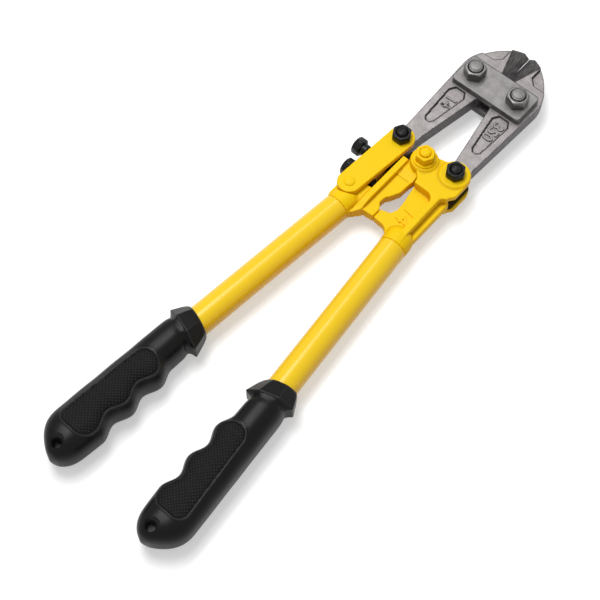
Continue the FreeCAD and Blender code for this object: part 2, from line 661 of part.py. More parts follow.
def screw_block(name):
    """The block between the link plates that carries the two side screws."""
    body = new_body(name)
    bevel = 1.2
    corners = [(-block_inner, -block_front), (-block_outer + bevel, -block_front),
               (-block_outer, -block_front - bevel), (-block_outer, -block_rear),
               (-block_inner, -block_rear)]
    pad(body, name + "_blank", outline(blank_sketch(body, name + "_edge"), corners),
        plate_low * 2, "Symmetric")
    holes = blank_sketch(body, name + "_holes", "YZ_Plane")
    circle(holes, push_radius + fit_gap, -push_back, 0)
    circle(holes, lock_radius + lock_play, -lock_back, 0)
    cut(body, name + "_screw_holes", holes)
    return body


# ---- handles -----------------------------------------------------------------------------
def handle_tube(name, side):
    """A straight tube from the seam to well inside the grip."""
    body = new_body(name)
    sketch = blank_sketch(body, name + "_ring", "XZ_Plane", x=seam_span * side, z=seam_back,
                          turn=FreeCAD.Rotation(Vector(0, 1, 0), splay.value * side))
    circle(sketch, tube_radius)
    circle(sketch, tube_radius - tube_wall)
    pad(body, name + "_tube", sketch, tube_long)
    return body


def axis_at(y):
    """Distance of the tube's axis from the middle line, y behind the centre pivot."""
    return seam_span.value + (y - seam_back.value) * math.tan(math.radians(splay.value))


def grip_section(y):
    """Inner edge, outer edge and half height of the grip, y behind the centre pivot."""
    drift, tail_rate, front_rate = 0.45, 2.5, 1.2
    back_share, front_share, flat_share = 0.62, 0.325, 0.93
    to_end = grip_end.value - y
    place = (wave_start.value - to_end) / wave_long.value
    waved = min(max(place, 0), wave_count.value)
    first_hollow = grip_end.value - wave_start.value
    inner = axis_at(first_hollow) - tube_radius.value - grip_front_wall.value
    inner += wave_deep.value * math.cos(2 * math.pi * waved) + drift * (waved - 1)
    inner += tail_rate * max(place - wave_count.value, 0) + front_rate * min(place, 0)
    outer = axis_at(y) + tube_radius.value + grip_back_wall.value
    high = tube_radius.value + grip_top_wall.value
    if to_end < grip_blend.value:
        left = 1 - to_end / grip_blend.value
        outer -= (outer - inner) * back_share * left ** 2.6
        inner += grip_blend.value * front_share * left ** 5
        high *= math.sqrt(1 - flat_share * left ** 4)
    return inner, outer, high


def oval(side, inner, outer, high, y, slant=0.0):
    half_wide = (outer - inner) / 2
    centre = Vector(side * (inner + outer) / 2, -y, 0)
    big, small = max(half_wide, high), min(half_wide, high)
    shape = Part.Ellipse(Vector(0, 0, 0), big, small).toShape()
    if high > half_wide:
        shape.rotate(Vector(0, 0, 0), Vector(0, 0, 1), 90)
    shape.rotate(Vector(0, 0, 0), Vector(1, 0, 0), 90)
    shape.rotate(Vector(0, 0, 0), Vector(0, 0, 1), slant * side)
    shape.translate(centre)
    return Part.Wire([shape])


def grip(name, side):
    """A moulded grip: flange at the tube, finger waves inside, straight back, blunt end."""
    item = doc.addObject("Part::Feature", name)
    item.Label = name
    top = grip_end.value - grip_long.value
    rim = top + rim_back.value
    neck = rim + neck_back.value
    slant = rim_slant.value
    unslanted = neck + 9.0
    stations, crowding = 24, 1.25
    shares = [1 - (1 - index / (stations - 1)) ** crowding for index in range(stations)]
    levels = [unslanted + (grip_end.value - unslanted) * share for share in shares]
    start = oval(side, *grip_section(neck), neck, slant)
    body = Part.makeLoft([start] + [oval(side, *grip_section(y), y) for y in levels], True, False)
    mouth = tube_radius.value + mouth_wall.value
    rim_half = tube_radius.value + rim_wall.value
    rim_high = tube_radius.value + rim_top_wall.value
    rims = [
        oval(side, axis_at(top) - mouth, axis_at(top) + mouth, mouth, top, slant),
        oval(side, axis_at(rim) - rim_half, axis_at(rim) + rim_half, rim_high, rim, slant),
        start,
    ]
    flange = Part.makeLoft(rims, True, True)
    shape = body.fuse(flange)
    angle = math.radians(splay.value)
    slope = Vector(math.sin(angle) * side, -math.cos(angle), 0)
    seam = Vector(seam_span.value * side, -seam_back.value, 0)
    bore = Part.makeCylinder(tube_radius.value + fit_gap.value, tube_long.value + 1, seam, slope)
    shape = shape.cut(bore)
    hole_y = grip_end.value - hang_ahead.value
    spot = Vector((axis_at(hole_y) - hang_in.value) * side, -hole_y, 0)
    up = Vector(0, 0, 1)
    past = 3 * tube_radius.value
    land = tube_radius.value + grip_top_wall.value - hang_sink.value
    shape = shape.cut(Part.makeCylinder(hang_radius.value, past * 2, spot - up * past, up))
    flat = hang_radius.value + hang_wall.value
    for way in (1, -1):
        shape = shape.cut(Part.makeCylinder(flat, past, spot + up * land * way, up * way))
    item.Shape = shape.removeSplitter()
    seat(item)
    return item


# ---- the assembly ------------------------------------------------------------------------
parts = []
for word, side, spin in (("left", -1, -31.0), ("right", 1, -19.0)):
    parts.append(jaw(f"jaw_{word}", side))
    parts.append(hex_bolt(f"strap_bolt_{word}", strap_span * side, strap_reach, -strap_top, strap_head,
                          strap_hex, strap_bolt, strap_top + strap_nut + strap_end, spin))
    parts.append(hex_nut(f"strap_nut_{word}", strap_span * side, strap_reach, strap_top, strap_hex,
                         strap_nut, strap_bolt, spin))
    tail_seat = link_top if side < 0 else boss_top
    parts.append(hex_bolt(f"tail_bolt_{word}", tail_span * side, tail_rise, -tail_seat, pivot_head,
                          pivot_hex, pivot_bolt, tail_seat + pivot_nut + pivot_end))
    parts.append(hex_nut(f"tail_nut_{word}", tail_span * side, tail_rise, tail_seat, pivot_hex,
                         pivot_nut, pivot_bolt))
    parts.append(handle_tube(f"handle_tube_{word}", side))
    parts.append(grip(f"grip_{word}", side))
for word, up in (("top", 1), ("bottom", -1)):
    parts.append(strap_plate(f"strap_plate_{word}", up))
    parts.append(link_plate(f"link_plate_{word}", up))

parts.append(fork_head("handle_head_right"))
parts.append(tongue_head("handle_head_left"))
centre_seat = boss_top + washer_thick
parts.append(hex_bolt("centre_bolt", 0, 0, -boss_top, pivot_head, pivot_hex, pivot_bolt,
                      centre_seat + pivot_nut + pivot_end))
parts.append(hex_nut("centre_nut", 0, 0, centre_seat, pivot_hex, pivot_nut, pivot_bolt))
washer = new_body("centre_washer")
ring = circle(circle(blank_sketch(washer, "centre_washer_ring", z=boss_top), washer_radius),
              pivot_bolt / 2 + fit_gap)
pad(washer, "centre_washer_plate", ring, washer_thick)
parts.append(washer)
parts.append(rivet("link_rivet"))
parts.append(screw_block("link_block"))
parts.append(side_screw("adjusting_screw", push_back, push_stand + screw_head, screw_head, screw_hex,
                        push_radius, left_rib_outer + face_gap,
                        (push_radius + push_collar, screw_head + push_collar_long)))
parts.append(side_screw("lock_screw", lock_back, lock_stand + screw_head, screw_head,
                        screw_hex, lock_radius, left_rib_outer - lock_bite))

doc.recompute()
for item in doc.Objects:
    if "Invalid" in item.State or "Error" in item.State:
        raise RuntimeError(f"{item.Label} failed: {item.State}")
for item in parts:
    if item.Shape.isNull() or not item.Shape.isValid() or not item.Shape.Solids:
        raise RuntimeError(f"{item.Label} is not a valid solid")
os.makedirs("parts", exist_ok=True)
for item in parts:
    item.Shape.exportStep(f"parts/{item.Label}.step")
    print(item.Label, len(item.Shape.Solids), round(item.Shape.Volume, 1))
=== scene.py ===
"""Bolt cutters: the finish of every piece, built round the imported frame, as a Blender add-on."""

import json
import math

import bmesh
import bpy
import numpy as np
from mathutils import Matrix, Vector


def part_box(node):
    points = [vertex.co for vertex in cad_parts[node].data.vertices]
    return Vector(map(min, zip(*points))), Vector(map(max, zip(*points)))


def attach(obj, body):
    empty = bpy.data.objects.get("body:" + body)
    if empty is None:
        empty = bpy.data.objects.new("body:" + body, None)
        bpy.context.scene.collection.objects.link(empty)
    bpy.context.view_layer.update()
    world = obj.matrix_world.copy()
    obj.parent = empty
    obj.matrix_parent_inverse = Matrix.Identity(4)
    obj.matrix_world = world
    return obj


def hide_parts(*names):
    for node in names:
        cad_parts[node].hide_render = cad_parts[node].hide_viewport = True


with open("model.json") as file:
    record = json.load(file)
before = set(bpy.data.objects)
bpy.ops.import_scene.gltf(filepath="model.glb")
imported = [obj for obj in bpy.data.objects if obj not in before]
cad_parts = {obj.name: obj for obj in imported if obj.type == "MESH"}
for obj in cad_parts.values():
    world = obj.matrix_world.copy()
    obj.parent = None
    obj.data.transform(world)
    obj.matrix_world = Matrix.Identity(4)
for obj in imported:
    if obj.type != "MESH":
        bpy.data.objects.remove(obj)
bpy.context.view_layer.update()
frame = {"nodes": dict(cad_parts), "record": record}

bl_info = {
    "name": "Bolt Cutters",
    "version": (1, 0, 0),
    "blender": (4, 5, 0),
    "location": "View3D > Sidebar > Cutters",
    "description": "Builds the finished pieces of a pair of compound-lever bolt cutters",
    "category": "Add Mesh",
}

MM = 0.001
SPLAY = 5.37  # each handle tube's turn off the middle line, in degrees
BODY_OF = {node: body for body, nodes in frame["record"]["behaviour"]["bodies"].items() for node in nodes}
SIDES = (("left", -1), ("right", 1))
WHITE = (1.0, 1.0, 1.0)


# ---- settings ------------------------------------------------------------------------------
class StageSettings(bpy.types.PropertyGroup):
    azimuth: bpy.props.FloatProperty(
        name="Azimuth", description="Camera's turn round the tool",
        default=math.radians(41.09), subtype="ANGLE")
    elevation: bpy.props.FloatProperty(
        name="Elevation", description="Camera's height above the horizon",
        default=math.radians(62.72), subtype="ANGLE")
    distance: bpy.props.FloatProperty(
        name="Distance", description="Camera to target", default=0.68048, subtype="DISTANCE")
    target: bpy.props.FloatVectorProperty(
        name="Target", description="Point that the camera looks at",
        default=(0.002757, -0.02855, 0.0125), subtype="XYZ", unit="LENGTH", precision=5)
    lens: bpy.props.FloatProperty(
        name="Lens", description="Focal length", default=77.85, unit="CAMERA")
    key_power: bpy.props.FloatProperty(
        name="Key light", description="Power of the soft key lamp", default=6.9, subtype="POWER")
    rim_power: bpy.props.FloatProperty(
        name="Strip light", description="Power of the long strip lamp", default=2.2, subtype="POWER")
    sky: bpy.props.FloatProperty(
        name="Sky", description="Strength of the even light from all round", default=0.36, min=0.0)
    floor_colour: bpy.props.FloatVectorProperty(
        name="Floor", description="Colour of the floor", default=(0.76, 0.76, 0.76), subtype="COLOR")
    floor_lift: bpy.props.FloatProperty(
        name="Floor lift", description="White that the floor shows beyond its lit colour", default=0.43)


class PaintSettings(bpy.types.PropertyGroup):
    colour: bpy.props.FloatVectorProperty(
        name="Paint", description="Colour of the powder coat", default=(0.93, 0.62, 0.004),
        subtype="COLOR")
    # Painted shade: the deeper colour that tints the walls and corners; it also colours the random
    # specks.
    deep: bpy.props.FloatVectorProperty(
        name="Deep paint", description="Colour where the coat pools in corners",
        default=(0.86, 0.42, 0.001), subtype="COLOR")
    peel: bpy.props.FloatProperty(
        name="Orange peel", description="Size of the coat's ripples", default=0.0012,
        subtype="DISTANCE")


class SteelSettings(bpy.types.PropertyGroup):
    ground: bpy.props.FloatVectorProperty(
        name="Ground steel", description="Colour of the ground strap plates",
        default=(0.240, 0.230, 0.228), subtype="COLOR")
    blasted: bpy.props.FloatVectorProperty(
        name="Blasted steel", description="Colour of the jaws' flat faces",
        default=(0.278, 0.258, 0.256), subtype="COLOR")
    # Partly a forged finish, partly painted shade: the dark colour of the walls, also used for the
    # bevels' grind.
    forged_and_shade: bpy.props.FloatVectorProperty(
        name="Forged steel", description="Colour of the dark sides and bevels",
        default=(0.090, 0.085, 0.087), subtype="COLOR")
    bright: bpy.props.FloatVectorProperty(
        name="Bright steel", description="Colour of the turned bolts and nuts",
        default=(0.190, 0.185, 0.182), subtype="COLOR")
    oxide: bpy.props.FloatVectorProperty(
        name="Black oxide", description="Colour of the blackened fasteners",
        default=(0.006, 0.006, 0.0065), subtype="COLOR")
    pitch: bpy.props.FloatProperty(
        name="Thread pitch", description="Pitch of the bolts' threads", default=0.00125,
        subtype="DISTANCE")


class GripSettings(bpy.types.PropertyGroup):
    colour: bpy.props.FloatVectorProperty(
        name="Rubber", description="Colour of the moulded grips", default=(0.0038, 0.0038, 0.0040),
        subtype="COLOR")
    knurl_pitch: bpy.props.FloatProperty(
        name="Knurl pitch", description="Spacing of the cross-hatching", default=0.0021,
        subtype="DISTANCE")
    knurl_depth: bpy.props.FloatProperty(
        name="Knurl depth", description="Height of the cross-hatching", default=0.00050,
        subtype="DISTANCE")
    panel_depth: bpy.props.FloatProperty(
        name="Panel depth", description="Depth of the cross-hatched panel", default=0.0007,
        subtype="DISTANCE")


# ---- shader maths --------------------------------------------------------------------------
class Wire:
    """One output of a shader node, which can be used in sums."""

    def __init__(self, nodes, socket):
        self.nodes = nodes
        self.socket = socket

    def math(self, operation, *others):
        return self.nodes.node("Math", {"operation": operation}, dict(enumerate((self, *others))))

    def __add__(self, other):
        return self.math("ADD", other)

    __radd__ = __add__

    def __sub__(self, other):
        return self.math("SUBTRACT", other)

    def __rsub__(self, other):
        return self.nodes.node("Math", {"operation": "SUBTRACT"}, {0: other, 1: self})

    def __mul__(self, other):
        return self.math("MULTIPLY", other)

    __rmul__ = __mul__

    def __abs__(self):
        return self.math("ABSOLUTE")

    def limited(self):
        return self.nodes.node("Clamp", {}, {"Value": self})

    def between(self, low, high):
        """0 below low, 1 above high, smooth between them."""
        settings = {"interpolation_type": "SMOOTHSTEP"}
        return self.nodes.node("MapRange", settings, {"Value": self, "From Min": low, "From Max": high})


class Nodes:
    """A node tree, written through one method."""

    def __init__(self, tree):
        self.tree = tree
        tree.nodes.clear()

    def node(self, kind, settings=None, values=None, output=0):
        made = self.tree.nodes.new("ShaderNode" + kind)
        for key, value in (settings or {}).items():
            setattr(made, key, value)
        for key, value in (values or {}).items():
            self.feed(made.inputs[key], value)
        return Wire(self, made.outputs[output]) if made.outputs else None

    def feed(self, socket, value):
        if isinstance(value, Wire):
            self.tree.links.new(value.socket, socket)
        else:
            socket.default_value = value

    def mix(self, share, low, high):
        """Blend two colours."""
        factor, first, second, colour = 0, 6, 7, 2
        return self.node("Mix", {"data_type": "RGBA"}, {factor: share, first: low, second: high}, colour)

    def own_place(self, stretch=(1.0, 1.0, 1.0)):
        """The piece's own coordinates in metres, stretched."""
        place = self.node("TexCoord", output="Object")
        return self.node("VectorMath", {"operation": "MULTIPLY"}, {0: place, 1: stretch})

    def noise(self, size, detail=3.0, rough=0.55, stretch=(1.0, 1.0, 1.0)):
        """Noise from 0 to 1 whose lumps are about that size in metres."""
        values = {"Vector": self.own_place(stretch), "Scale": 1.0 / size, "Detail": detail,
                  "Roughness": rough}
        return self.node("TexNoise", {}, values)

    def flatness(self):
        """1 on faces that lie flat in the tool, 0 on its walls."""
        return abs(self.node("SeparateXYZ", {}, {0: self.node("TexCoord", output="Normal")}, "Z"))

    def written(self, name):
        """A number that was written on the mesh at each point."""
        return self.node("Attribute", {"attribute_name": name}, {}, "Fac")

    def bend(self):
        """How the surface bends: above 0 in corners, below 0 on edges."""
        return self.written("bend")

    def bump(self, height, depth):
        return self.node("Bump", {}, {"Height": height, "Distance": depth, "Strength": 1.0})


def eased(share):
    """0 to 1 with a soft start and end."""
    return share * share * (3 - 2 * share)


def rgba(colour):
    return (*colour, 1.0)


def tinted(colour, share):
    """A colour made lighter or darker."""
    return (*(part * share for part in colour), 1.0)


def finish(name, values):
    """A material of one principled shader; values is a function of its nodes."""
    material = bpy.data.materials.get(name)
    if material is None:
        material = bpy.data.materials.new(name)
        material.use_nodes = True
        nodes = Nodes(material.node_tree)
        surface = nodes.node("BsdfPrincipled", {}, values(nodes))
        nodes.node("OutputMaterial", {}, {"Surface": surface})
    return material


def yellow_paint(name="yellow powder coat", gloss=0.11, rough=0.38):
    """Powder coat, with painted shade on its walls, in its corners and on the faces inside a slot."""
    paint = bpy.context.scene.cutters_paint
    # The first colour is the near-black painted shade for the faces inside a slot.
    slot_shade_colour, cloud_size, speck_size, ripple_depth = (0.035, 0.028, 0.022), 0.022, 0.0004, 0.00003

    def values(nodes):
        # Painted shade: corners darken towards a deep orange-brown.
        corner = (nodes.bend() * 3.0).limited()
        cloud = nodes.noise(cloud_size)
        speck = nodes.noise(speck_size, 1.0).between(0.70, 0.80)
        # Painted shade: walls that do not face up are tinted deeper, and clouds vary the tone at random.
        wall = 1.0 - nodes.flatness().between(0.25, 0.98)
        tone = ((cloud - 0.4) * 0.25 + wall * 0.60).limited()
        colour = nodes.mix(tone, rgba(paint.colour), rgba(paint.deep))
        colour = nodes.mix(corner * 0.80, colour, tinted(paint.deep, 0.62))
        colour = nodes.mix(speck * 0.18, colour, rgba(paint.deep))
        # Painted shade: the faces inside a slot are painted near-black.
        colour = nodes.mix(nodes.written("slot_shade") * 0.93, colour, rgba(slot_shade_colour))
        ripple = nodes.noise(paint.peel, 1.0)
        return {"Base Color": colour, "Roughness": rough + nodes.noise(0.004) * 0.12,
                "Specular IOR Level": gloss, "Normal": nodes.bump(ripple, ripple_depth)}

    return finish(name, values)


def tube_paint():
    return yellow_paint("glossy yellow tube paint", gloss=0.40, rough=0.20)


def flat_steel(name, face_colour):
    """Steel with pale ground or blasted faces, dark walls that are partly a forged finish and partly
    painted shade, streaked blade bevels, and painted shade in its corners.
    """
    steel = bpy.context.scene.cutters_steel
    # The first colour is the near-black painted shade in corners.
    corner_shade_colour, grain_size, grain_depth = (0.010, 0.009, 0.009), 0.00040, 0.00006

    def values(nodes):
        upright = nodes.flatness()
        flat = upright.between(0.986, 0.996)
        bevel = upright.between(0.70, 0.80)
        grain = nodes.noise(grain_size, 2.0)
        patch = nodes.noise(0.005, 5.0)
        streak = nodes.noise(0.0022, 5.0, stretch=(2.0, 0.55, 1.0))
        # Painted shade: corners darken towards near-black.
        corner_shade = (nodes.bend() * 3.4).limited()
        edge = (nodes.bend() * -1.4).limited()
        share = (grain * 1.5 + patch * 0.8 - 0.65).limited()
        face = nodes.mix(share, tinted(face_colour, 0.42), tinted(face_colour, 1.50))
        # Walls are dark: partly a forged finish, partly painted shade.
        wall = nodes.mix(nodes.noise(0.0030, 5.0, stretch=(1.0, 1.0, 2.5)).between(0.2, 0.8),
                         tinted(steel.forged_and_shade, 0.70), tinted(steel.forged_and_shade, 1.60))
        grind = nodes.mix(streak.between(0.20, 0.80), tinted(steel.forged_and_shade, 0.28),
                          tinted(face_colour, 0.42))
        colour = nodes.mix(bevel, wall, grind)
        colour = nodes.mix(flat, colour, face)
        colour = nodes.mix(corner_shade * 0.9, colour, rgba(corner_shade_colour))
        colour = nodes.mix(edge * 0.30, colour, rgba(steel.bright))
        height = grain + nodes.noise(0.0015, 3.0) * 0.8
        return {"Base Color": colour, "Metallic": 0.78, "Roughness": 0.44 + grain * 0.18,
                "Normal": nodes.bump(height, grain_depth)}

    return finish(name, values)


def ground_steel():
    return flat_steel("ground strap steel", bpy.context.scene.cutters_steel.ground)


def blasted_steel():
    return flat_steel("blasted jaw steel", bpy.context.scene.cutters_steel.blasted)


def bright_steel():
    """Turned steel with fine scratches, with painted shade on its upright sides."""
    steel = bpy.context.scene.cutters_steel

    def values(nodes):
        patch = nodes.noise(0.003, 4.0)
        scratch = nodes.noise(0.0006, 2.0, stretch=(1.0, 1.0, 6.0))
        # Painted shade: upright sides are darker than the top faces.
        flat = nodes.flatness().between(0.30, 0.80)
        side_shade = tinted(steel.bright, 0.55)
        colour = nodes.mix((patch * 0.5 + scratch * 0.4).limited(), tinted(steel.bright, 0.70),
                           tinted(steel.bright, 1.15))
        colour = nodes.mix(0.06 + flat * 0.94, side_shade, colour)
        return {"Base Color": colour, "Metallic": 0.9, "Roughness": 0.30 + patch * 0.18,
                "Normal": nodes.bump(scratch, 0.00002)}

    return finish("bright steel", values)


def black_oxide():
    """Blackened steel, a little patchy."""
    steel = bpy.context.scene.cutters_steel

    def values(nodes):
        patch = nodes.noise(0.002, 4.0)
        colour = nodes.mix(patch, tinted(steel.oxide, 0.6), tinted(steel.oxide, 1.8))
        return {"Base Color": colour, "Specular IOR Level": 0.15, "Roughness": 0.20 + patch * 0.16,
                "Normal": nodes.bump(nodes.noise(0.0005, 2.0), 0.00003)}

    return finish("black oxide", values)


def grip_rubber():
    """Moulded rubber, paler on its edges and stud tips from wear and a painted highlight, and darker with
    painted shade and duller in the cross-hatched panels.
    """
    grip = bpy.context.scene.cutters_grip
    # The first colour is the paler colour of wear and painted highlight.
    wear_and_highlight_colour, grain_size, grain_depth = (0.030, 0.030, 0.031), 0.00045, 0.000025

    def values(nodes):
        cloud = nodes.noise(0.012, 3.0)
        grain = nodes.noise(grain_size, 2.0)
        panel = nodes.written("panel")
        # Partly wear, partly painted highlight: edges and stud tips turn paler.
        wear_and_highlight = (nodes.bend() * -1.0).between(0.10, 0.45)
        colour = nodes.mix(cloud, tinted(grip.colour, 0.75), tinted(grip.colour, 1.3))
        # Painted shade: the sunk cross-hatched panels are darker.
        colour = nodes.mix(panel * 0.6, colour, tinted(grip.colour, 0.3))
        colour = nodes.mix(wear_and_highlight * 0.55, colour, rgba(wear_and_highlight_colour))
        return {"Base Color": colour, "Roughness": 0.26 + grain * 0.10 + cloud * 0.06 + panel * 0.30,
                "Specular IOR Level": 0.13, "Normal": nodes.bump(grain, grain_depth)}

    return finish("black moulded rubber", values)


# ---- mesh helpers --------------------------------------------------------------------------
def skin(rings, loop=False, first_cap=False, last_cap=False):
    """Points and faces of a surface through rings that hold equally many points."""
    count = len(rings[0])
    points = [point for ring in rings for point in ring]
    faces = []
    for row in range(len(rings) if loop else len(rings) - 1):
        low, high = row * count, (row + 1) % len(rings) * count
        for column in range(count):
            after = (column + 1) % count
            faces.append((low + column, low + after, high + after, high + column))
    if first_cap:
        faces.append(tuple(reversed(range(count))))
    if last_cap:
        faces.append(tuple(range(len(points) - count, len(points))))
    return points, faces


def circle_ring(radius, height, columns):
    turn = [2 * math.pi * column / columns for column in range(columns)]
    return [(radius * math.cos(angle), radius * math.sin(angle), height) for angle in turn]


def lathe(profile, columns=72, loop=False):
    """Turn a profile of (radius, height) about the Z axis."""
    rings = [circle_ring(radius, height, columns) for radius, height in profile]
    return skin(rings, loop, not loop, not loop)


def joined(*shells):
    """Several shells as one."""
    points, faces = [], []
    for shell_points, shell_faces in shells:
        base = len(points)
        points += shell_points
        faces += [tuple(base + corner for corner in face) for face in shell_faces]
    return points, faces


def mesh_of(name, shell, place=None):
    """A mesh from points in millimetres, moved by a matrix in millimetres."""
    mesh = bpy.data.meshes.new(name)
    mesh.from_pydata(shell[0], [], shell[1])
    mesh.transform(Matrix.Scale(MM, 4) @ (place or Matrix.Identity(4)))
    work = bmesh.new()
    work.from_mesh(mesh)
    bmesh.ops.recalc_face_normals(work, faces=work.faces)
    work.to_mesh(mesh)
    work.free()
    return mesh


def shade(mesh, sharp=32.0):
    """Smooth shading, with edges kept sharp where faces turn by more than that many degrees."""
    work = bmesh.new()
    work.from_mesh(mesh)
    for face in work.faces:
        face.smooth = True
    limit = math.radians(sharp)
    for edge in work.edges:
        edge.smooth = edge.is_manifold and edge.calc_face_angle(0.0) < limit
    work.to_mesh(mesh)
    work.free()


def add_piece(name, mesh, material, node, replaced=True):
    """Show a mesh as a piece that rides with a CAD node's body, in the given material."""
    mesh.materials.clear()
    mesh.materials.append(material)
    piece = bpy.data.objects.new(name, mesh)
    bpy.context.scene.collection.objects.link(piece)
    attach(piece, BODY_OF[node])
    if replaced:
        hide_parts(node)
    return piece


def evaluated_mesh(piece):
    """The mesh of an object with its modifiers worked out, or of a text."""
    graph = bpy.context.evaluated_depsgraph_get()
    graph.update()
    return bpy.data.meshes.new_from_object(piece.evaluated_get(graph))


def points_of(mesh):
    """Places and normals of a mesh's points, as arrays with a row for each point."""
    arrays = []
    for name in ("co", "normal"):
        values = np.zeros(len(mesh.vertices) * 3, np.float32)
        mesh.vertices.foreach_get(name, values)
        arrays.append(values.reshape(-1, 3))
    return arrays


def write_on(mesh, name, values):
    """Write a number at each point, for a material to read."""
    attribute = mesh.attributes.new(name, "FLOAT", "POINT")
    attribute.data.foreach_set("value", values.astype(np.float32))


def forged_copy(node, cell, passes, crisp=False, added=()):
    """The shape of a CAD node with rounded edges and filled corners, as a forging or casting has.

    Crisp keeps the fine edges of a ground blade. Added shells are run into the casting.
    """
    mesh = frame["nodes"][node].data.copy()
    work = bmesh.new()
    work.from_mesh(mesh)
    for shell in added:
        work.from_mesh(mesh_of("fillet", shell))
    bmesh.ops.remove_doubles(work, verts=work.verts, dist=1e-6)
    work.to_mesh(mesh)
    work.free()
    blank = bpy.data.objects.new("blank", mesh)
    bpy.context.scene.collection.objects.link(blank)
    remesh = blank.modifiers.new("cells", "REMESH")
    remesh.use_smooth_shade = True
    if crisp:
        remesh.mode = "SHARP"
        remesh.octree_depth = 8
        remesh.scale = max(blank.dimensions) / MM / cell / 2 ** remesh.octree_depth
    else:
        remesh.mode = "VOXEL"
        remesh.voxel_size = cell * MM
    smooth = blank.modifiers.new("rounding", "SMOOTH")
    smooth.factor = 0.5
    smooth.iterations = passes
    made = evaluated_mesh(blank)
    bpy.data.objects.remove(blank)
    mark_bends(made)
    return made


def mark_bends(mesh, passes=2):
    """Write how the surface bends at each point: above 0 in corners, below 0 on edges."""
    count = len(mesh.vertices)
    place, normal = points_of(mesh)
    ends = np.zeros(len(mesh.edges) * 2, np.int32)
    mesh.edges.foreach_get("vertices", ends)
    ends = ends.reshape(-1, 2)
    near = np.maximum(np.bincount(ends.ravel(), minlength=count), 1)

    def around(values):
        total = np.bincount(ends[:, 0], values[ends[:, 1]], count)
        return (total + np.bincount(ends[:, 1], values[ends[:, 0]], count)) / near

    middle = np.stack([around(place[:, axis]) for axis in range(3)], 1)
    length = np.linalg.norm(place[ends[:, 0]] - place[ends[:, 1]], axis=1).mean()
    bends = ((middle - place) * normal).sum(1) / length * 4
    for _ in range(passes):
        bends = (bends + around(bends)) / 2
    write_on(mesh, "bend", bends)


def middle_of(node):
    """Centre of a CAD node's box, in millimetres."""
    low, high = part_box(node)
    return (low + high) / 2 / MM


def span_of(node, axis=2):
    """Lowest and highest place of a CAD node along an axis, in millimetres."""
    low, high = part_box(node)
    return low[axis] / MM, high[axis] / MM


# ---- fasteners -----------------------------------------------------------------------------
HEX_COLUMNS = 120
RUNNING_GAP = 0.02
EDGE = 0.18
PIN_POINT = 0.02


def hex_radius(across, angle):
    """Distance from the axis to a hexagon's side, with its corners a little cut off."""
    turn, corner_cut = math.radians(60), 0.18
    inside = (angle % turn) - turn / 2
    flat = across / 2 / math.cos(inside)
    return min(flat, across / 2 / math.cos(turn / 2) - corner_cut)


def hex_shell(across, low, high, bore=0.0, spin=0.0):
    """A hexagon nut or head with its corners turned off at both ends, and a bore if it has one."""
    flat = across * 0.475
    slope = math.tan(math.radians(28))
    sink = 0.75
    columns = [math.radians(360 / HEX_COLUMNS * column) for column in range(HEX_COLUMNS)]

    def ring(radius_of, height_of):
        points = []
        for angle in columns:
            radius = radius_of(angle)
            turned = angle + math.radians(spin)
            points.append((radius * math.cos(turned), radius * math.sin(turned), height_of(radius)))
        return points

    def side(inset):
        return lambda angle: hex_radius(across, angle) - inset

    def drop(radius):
        return max(radius - flat, 0.0) * slope

    rings = []
    if bore:
        rings.append(ring(lambda angle: bore, lambda radius: high - sink))
        rings.append(ring(lambda angle: bore + sink, lambda radius: high))
    else:
        rings.append(ring(lambda angle: PIN_POINT, lambda radius: high))
        rings.append(ring(lambda angle: flat * 0.55, lambda radius: high))
    rings += [
        ring(lambda angle: flat - EDGE, lambda radius: high),
        ring(lambda angle: flat + EDGE * 0.3, lambda radius: high - EDGE * 0.2),
        ring(side(EDGE), lambda radius: high - drop(radius) - EDGE * 0.2),
        ring(side(0.0), lambda radius: high - drop(radius) - EDGE * 1.3),
        ring(side(0.0), lambda radius: low + drop(radius) + EDGE * 1.3),
        ring(side(EDGE), lambda radius: low + drop(radius) + EDGE * 0.2),
        ring(lambda angle: flat - EDGE, lambda radius: low),
    ]
    if bore:
        rings.append(ring(lambda angle: bore + sink, lambda radius: low))
        rings.append(ring(lambda angle: bore, lambda radius: low + sink))
        return skin(rings, loop=True)
    return skin(rings, first_cap=True, last_cap=True)


def thread_shell(radius, low, high, pitch, depth=0.32):
    """A bolt's shank with a helical thread and a turned end."""
    columns, bevel, dome, rings_a_turn = 64, 0.8, 0.35, 7
    steps = max(int((high - low) / (pitch / rings_a_turn)), 4)
    rings = [circle_ring(PIN_POINT, low, columns)]
    for step in range(steps + 1):
        height = low + (high - bevel - low) * step / steps
        ring = []
        for column in range(columns):
            share = column / columns
            wave = abs(((height / pitch - share) % 1.0) * 2 - 1)
            reach = radius - depth * min(max(wave * 1.4 - 0.2, 0.0), 1.0)
            angle = 2 * math.pi * share
            ring.append((reach * math.cos(angle), reach * math.sin(angle), height))
        rings.append(ring)
    for reach, height in ((radius - depth, high - bevel * 0.9), (radius - bevel, high - dome * 0.5),
                          (radius * 0.55, high - dome * 0.12), (PIN_POINT, high)):
        rings.append(circle_ring(reach, height, columns))
    return skin(rings, first_cap=True, last_cap=True)


def turned_piece(node, shell, material):
    """A piece that stands upright in its CAD node's place."""
    middle = middle_of(node)
    mesh = mesh_of(node, shell, Matrix.Translation((middle.x, middle.y, 0)))
    shade(mesh)
    add_piece(f"{node}_turned", mesh, material, node)


def standing_bolt(node, across, radius, head, spin, material, depth=0.32):
    """A bolt with its head underneath and its threaded end on top."""
    low, high = span_of(node)
    pitch = bpy.context.scene.cutters_steel.pitch / MM
    turned_piece(node, joined(hex_shell(across, low, low + head, spin=spin),
                              thread_shell(radius, low + head * 0.5, high, pitch, depth)), material)


def standing_nut(node, across, radius, spin, material):
    """A nut that lies flat, over the end of a bolt of that radius."""
    turned_piece(node, hex_shell(across, *span_of(node), radius + RUNNING_GAP, spin), material)


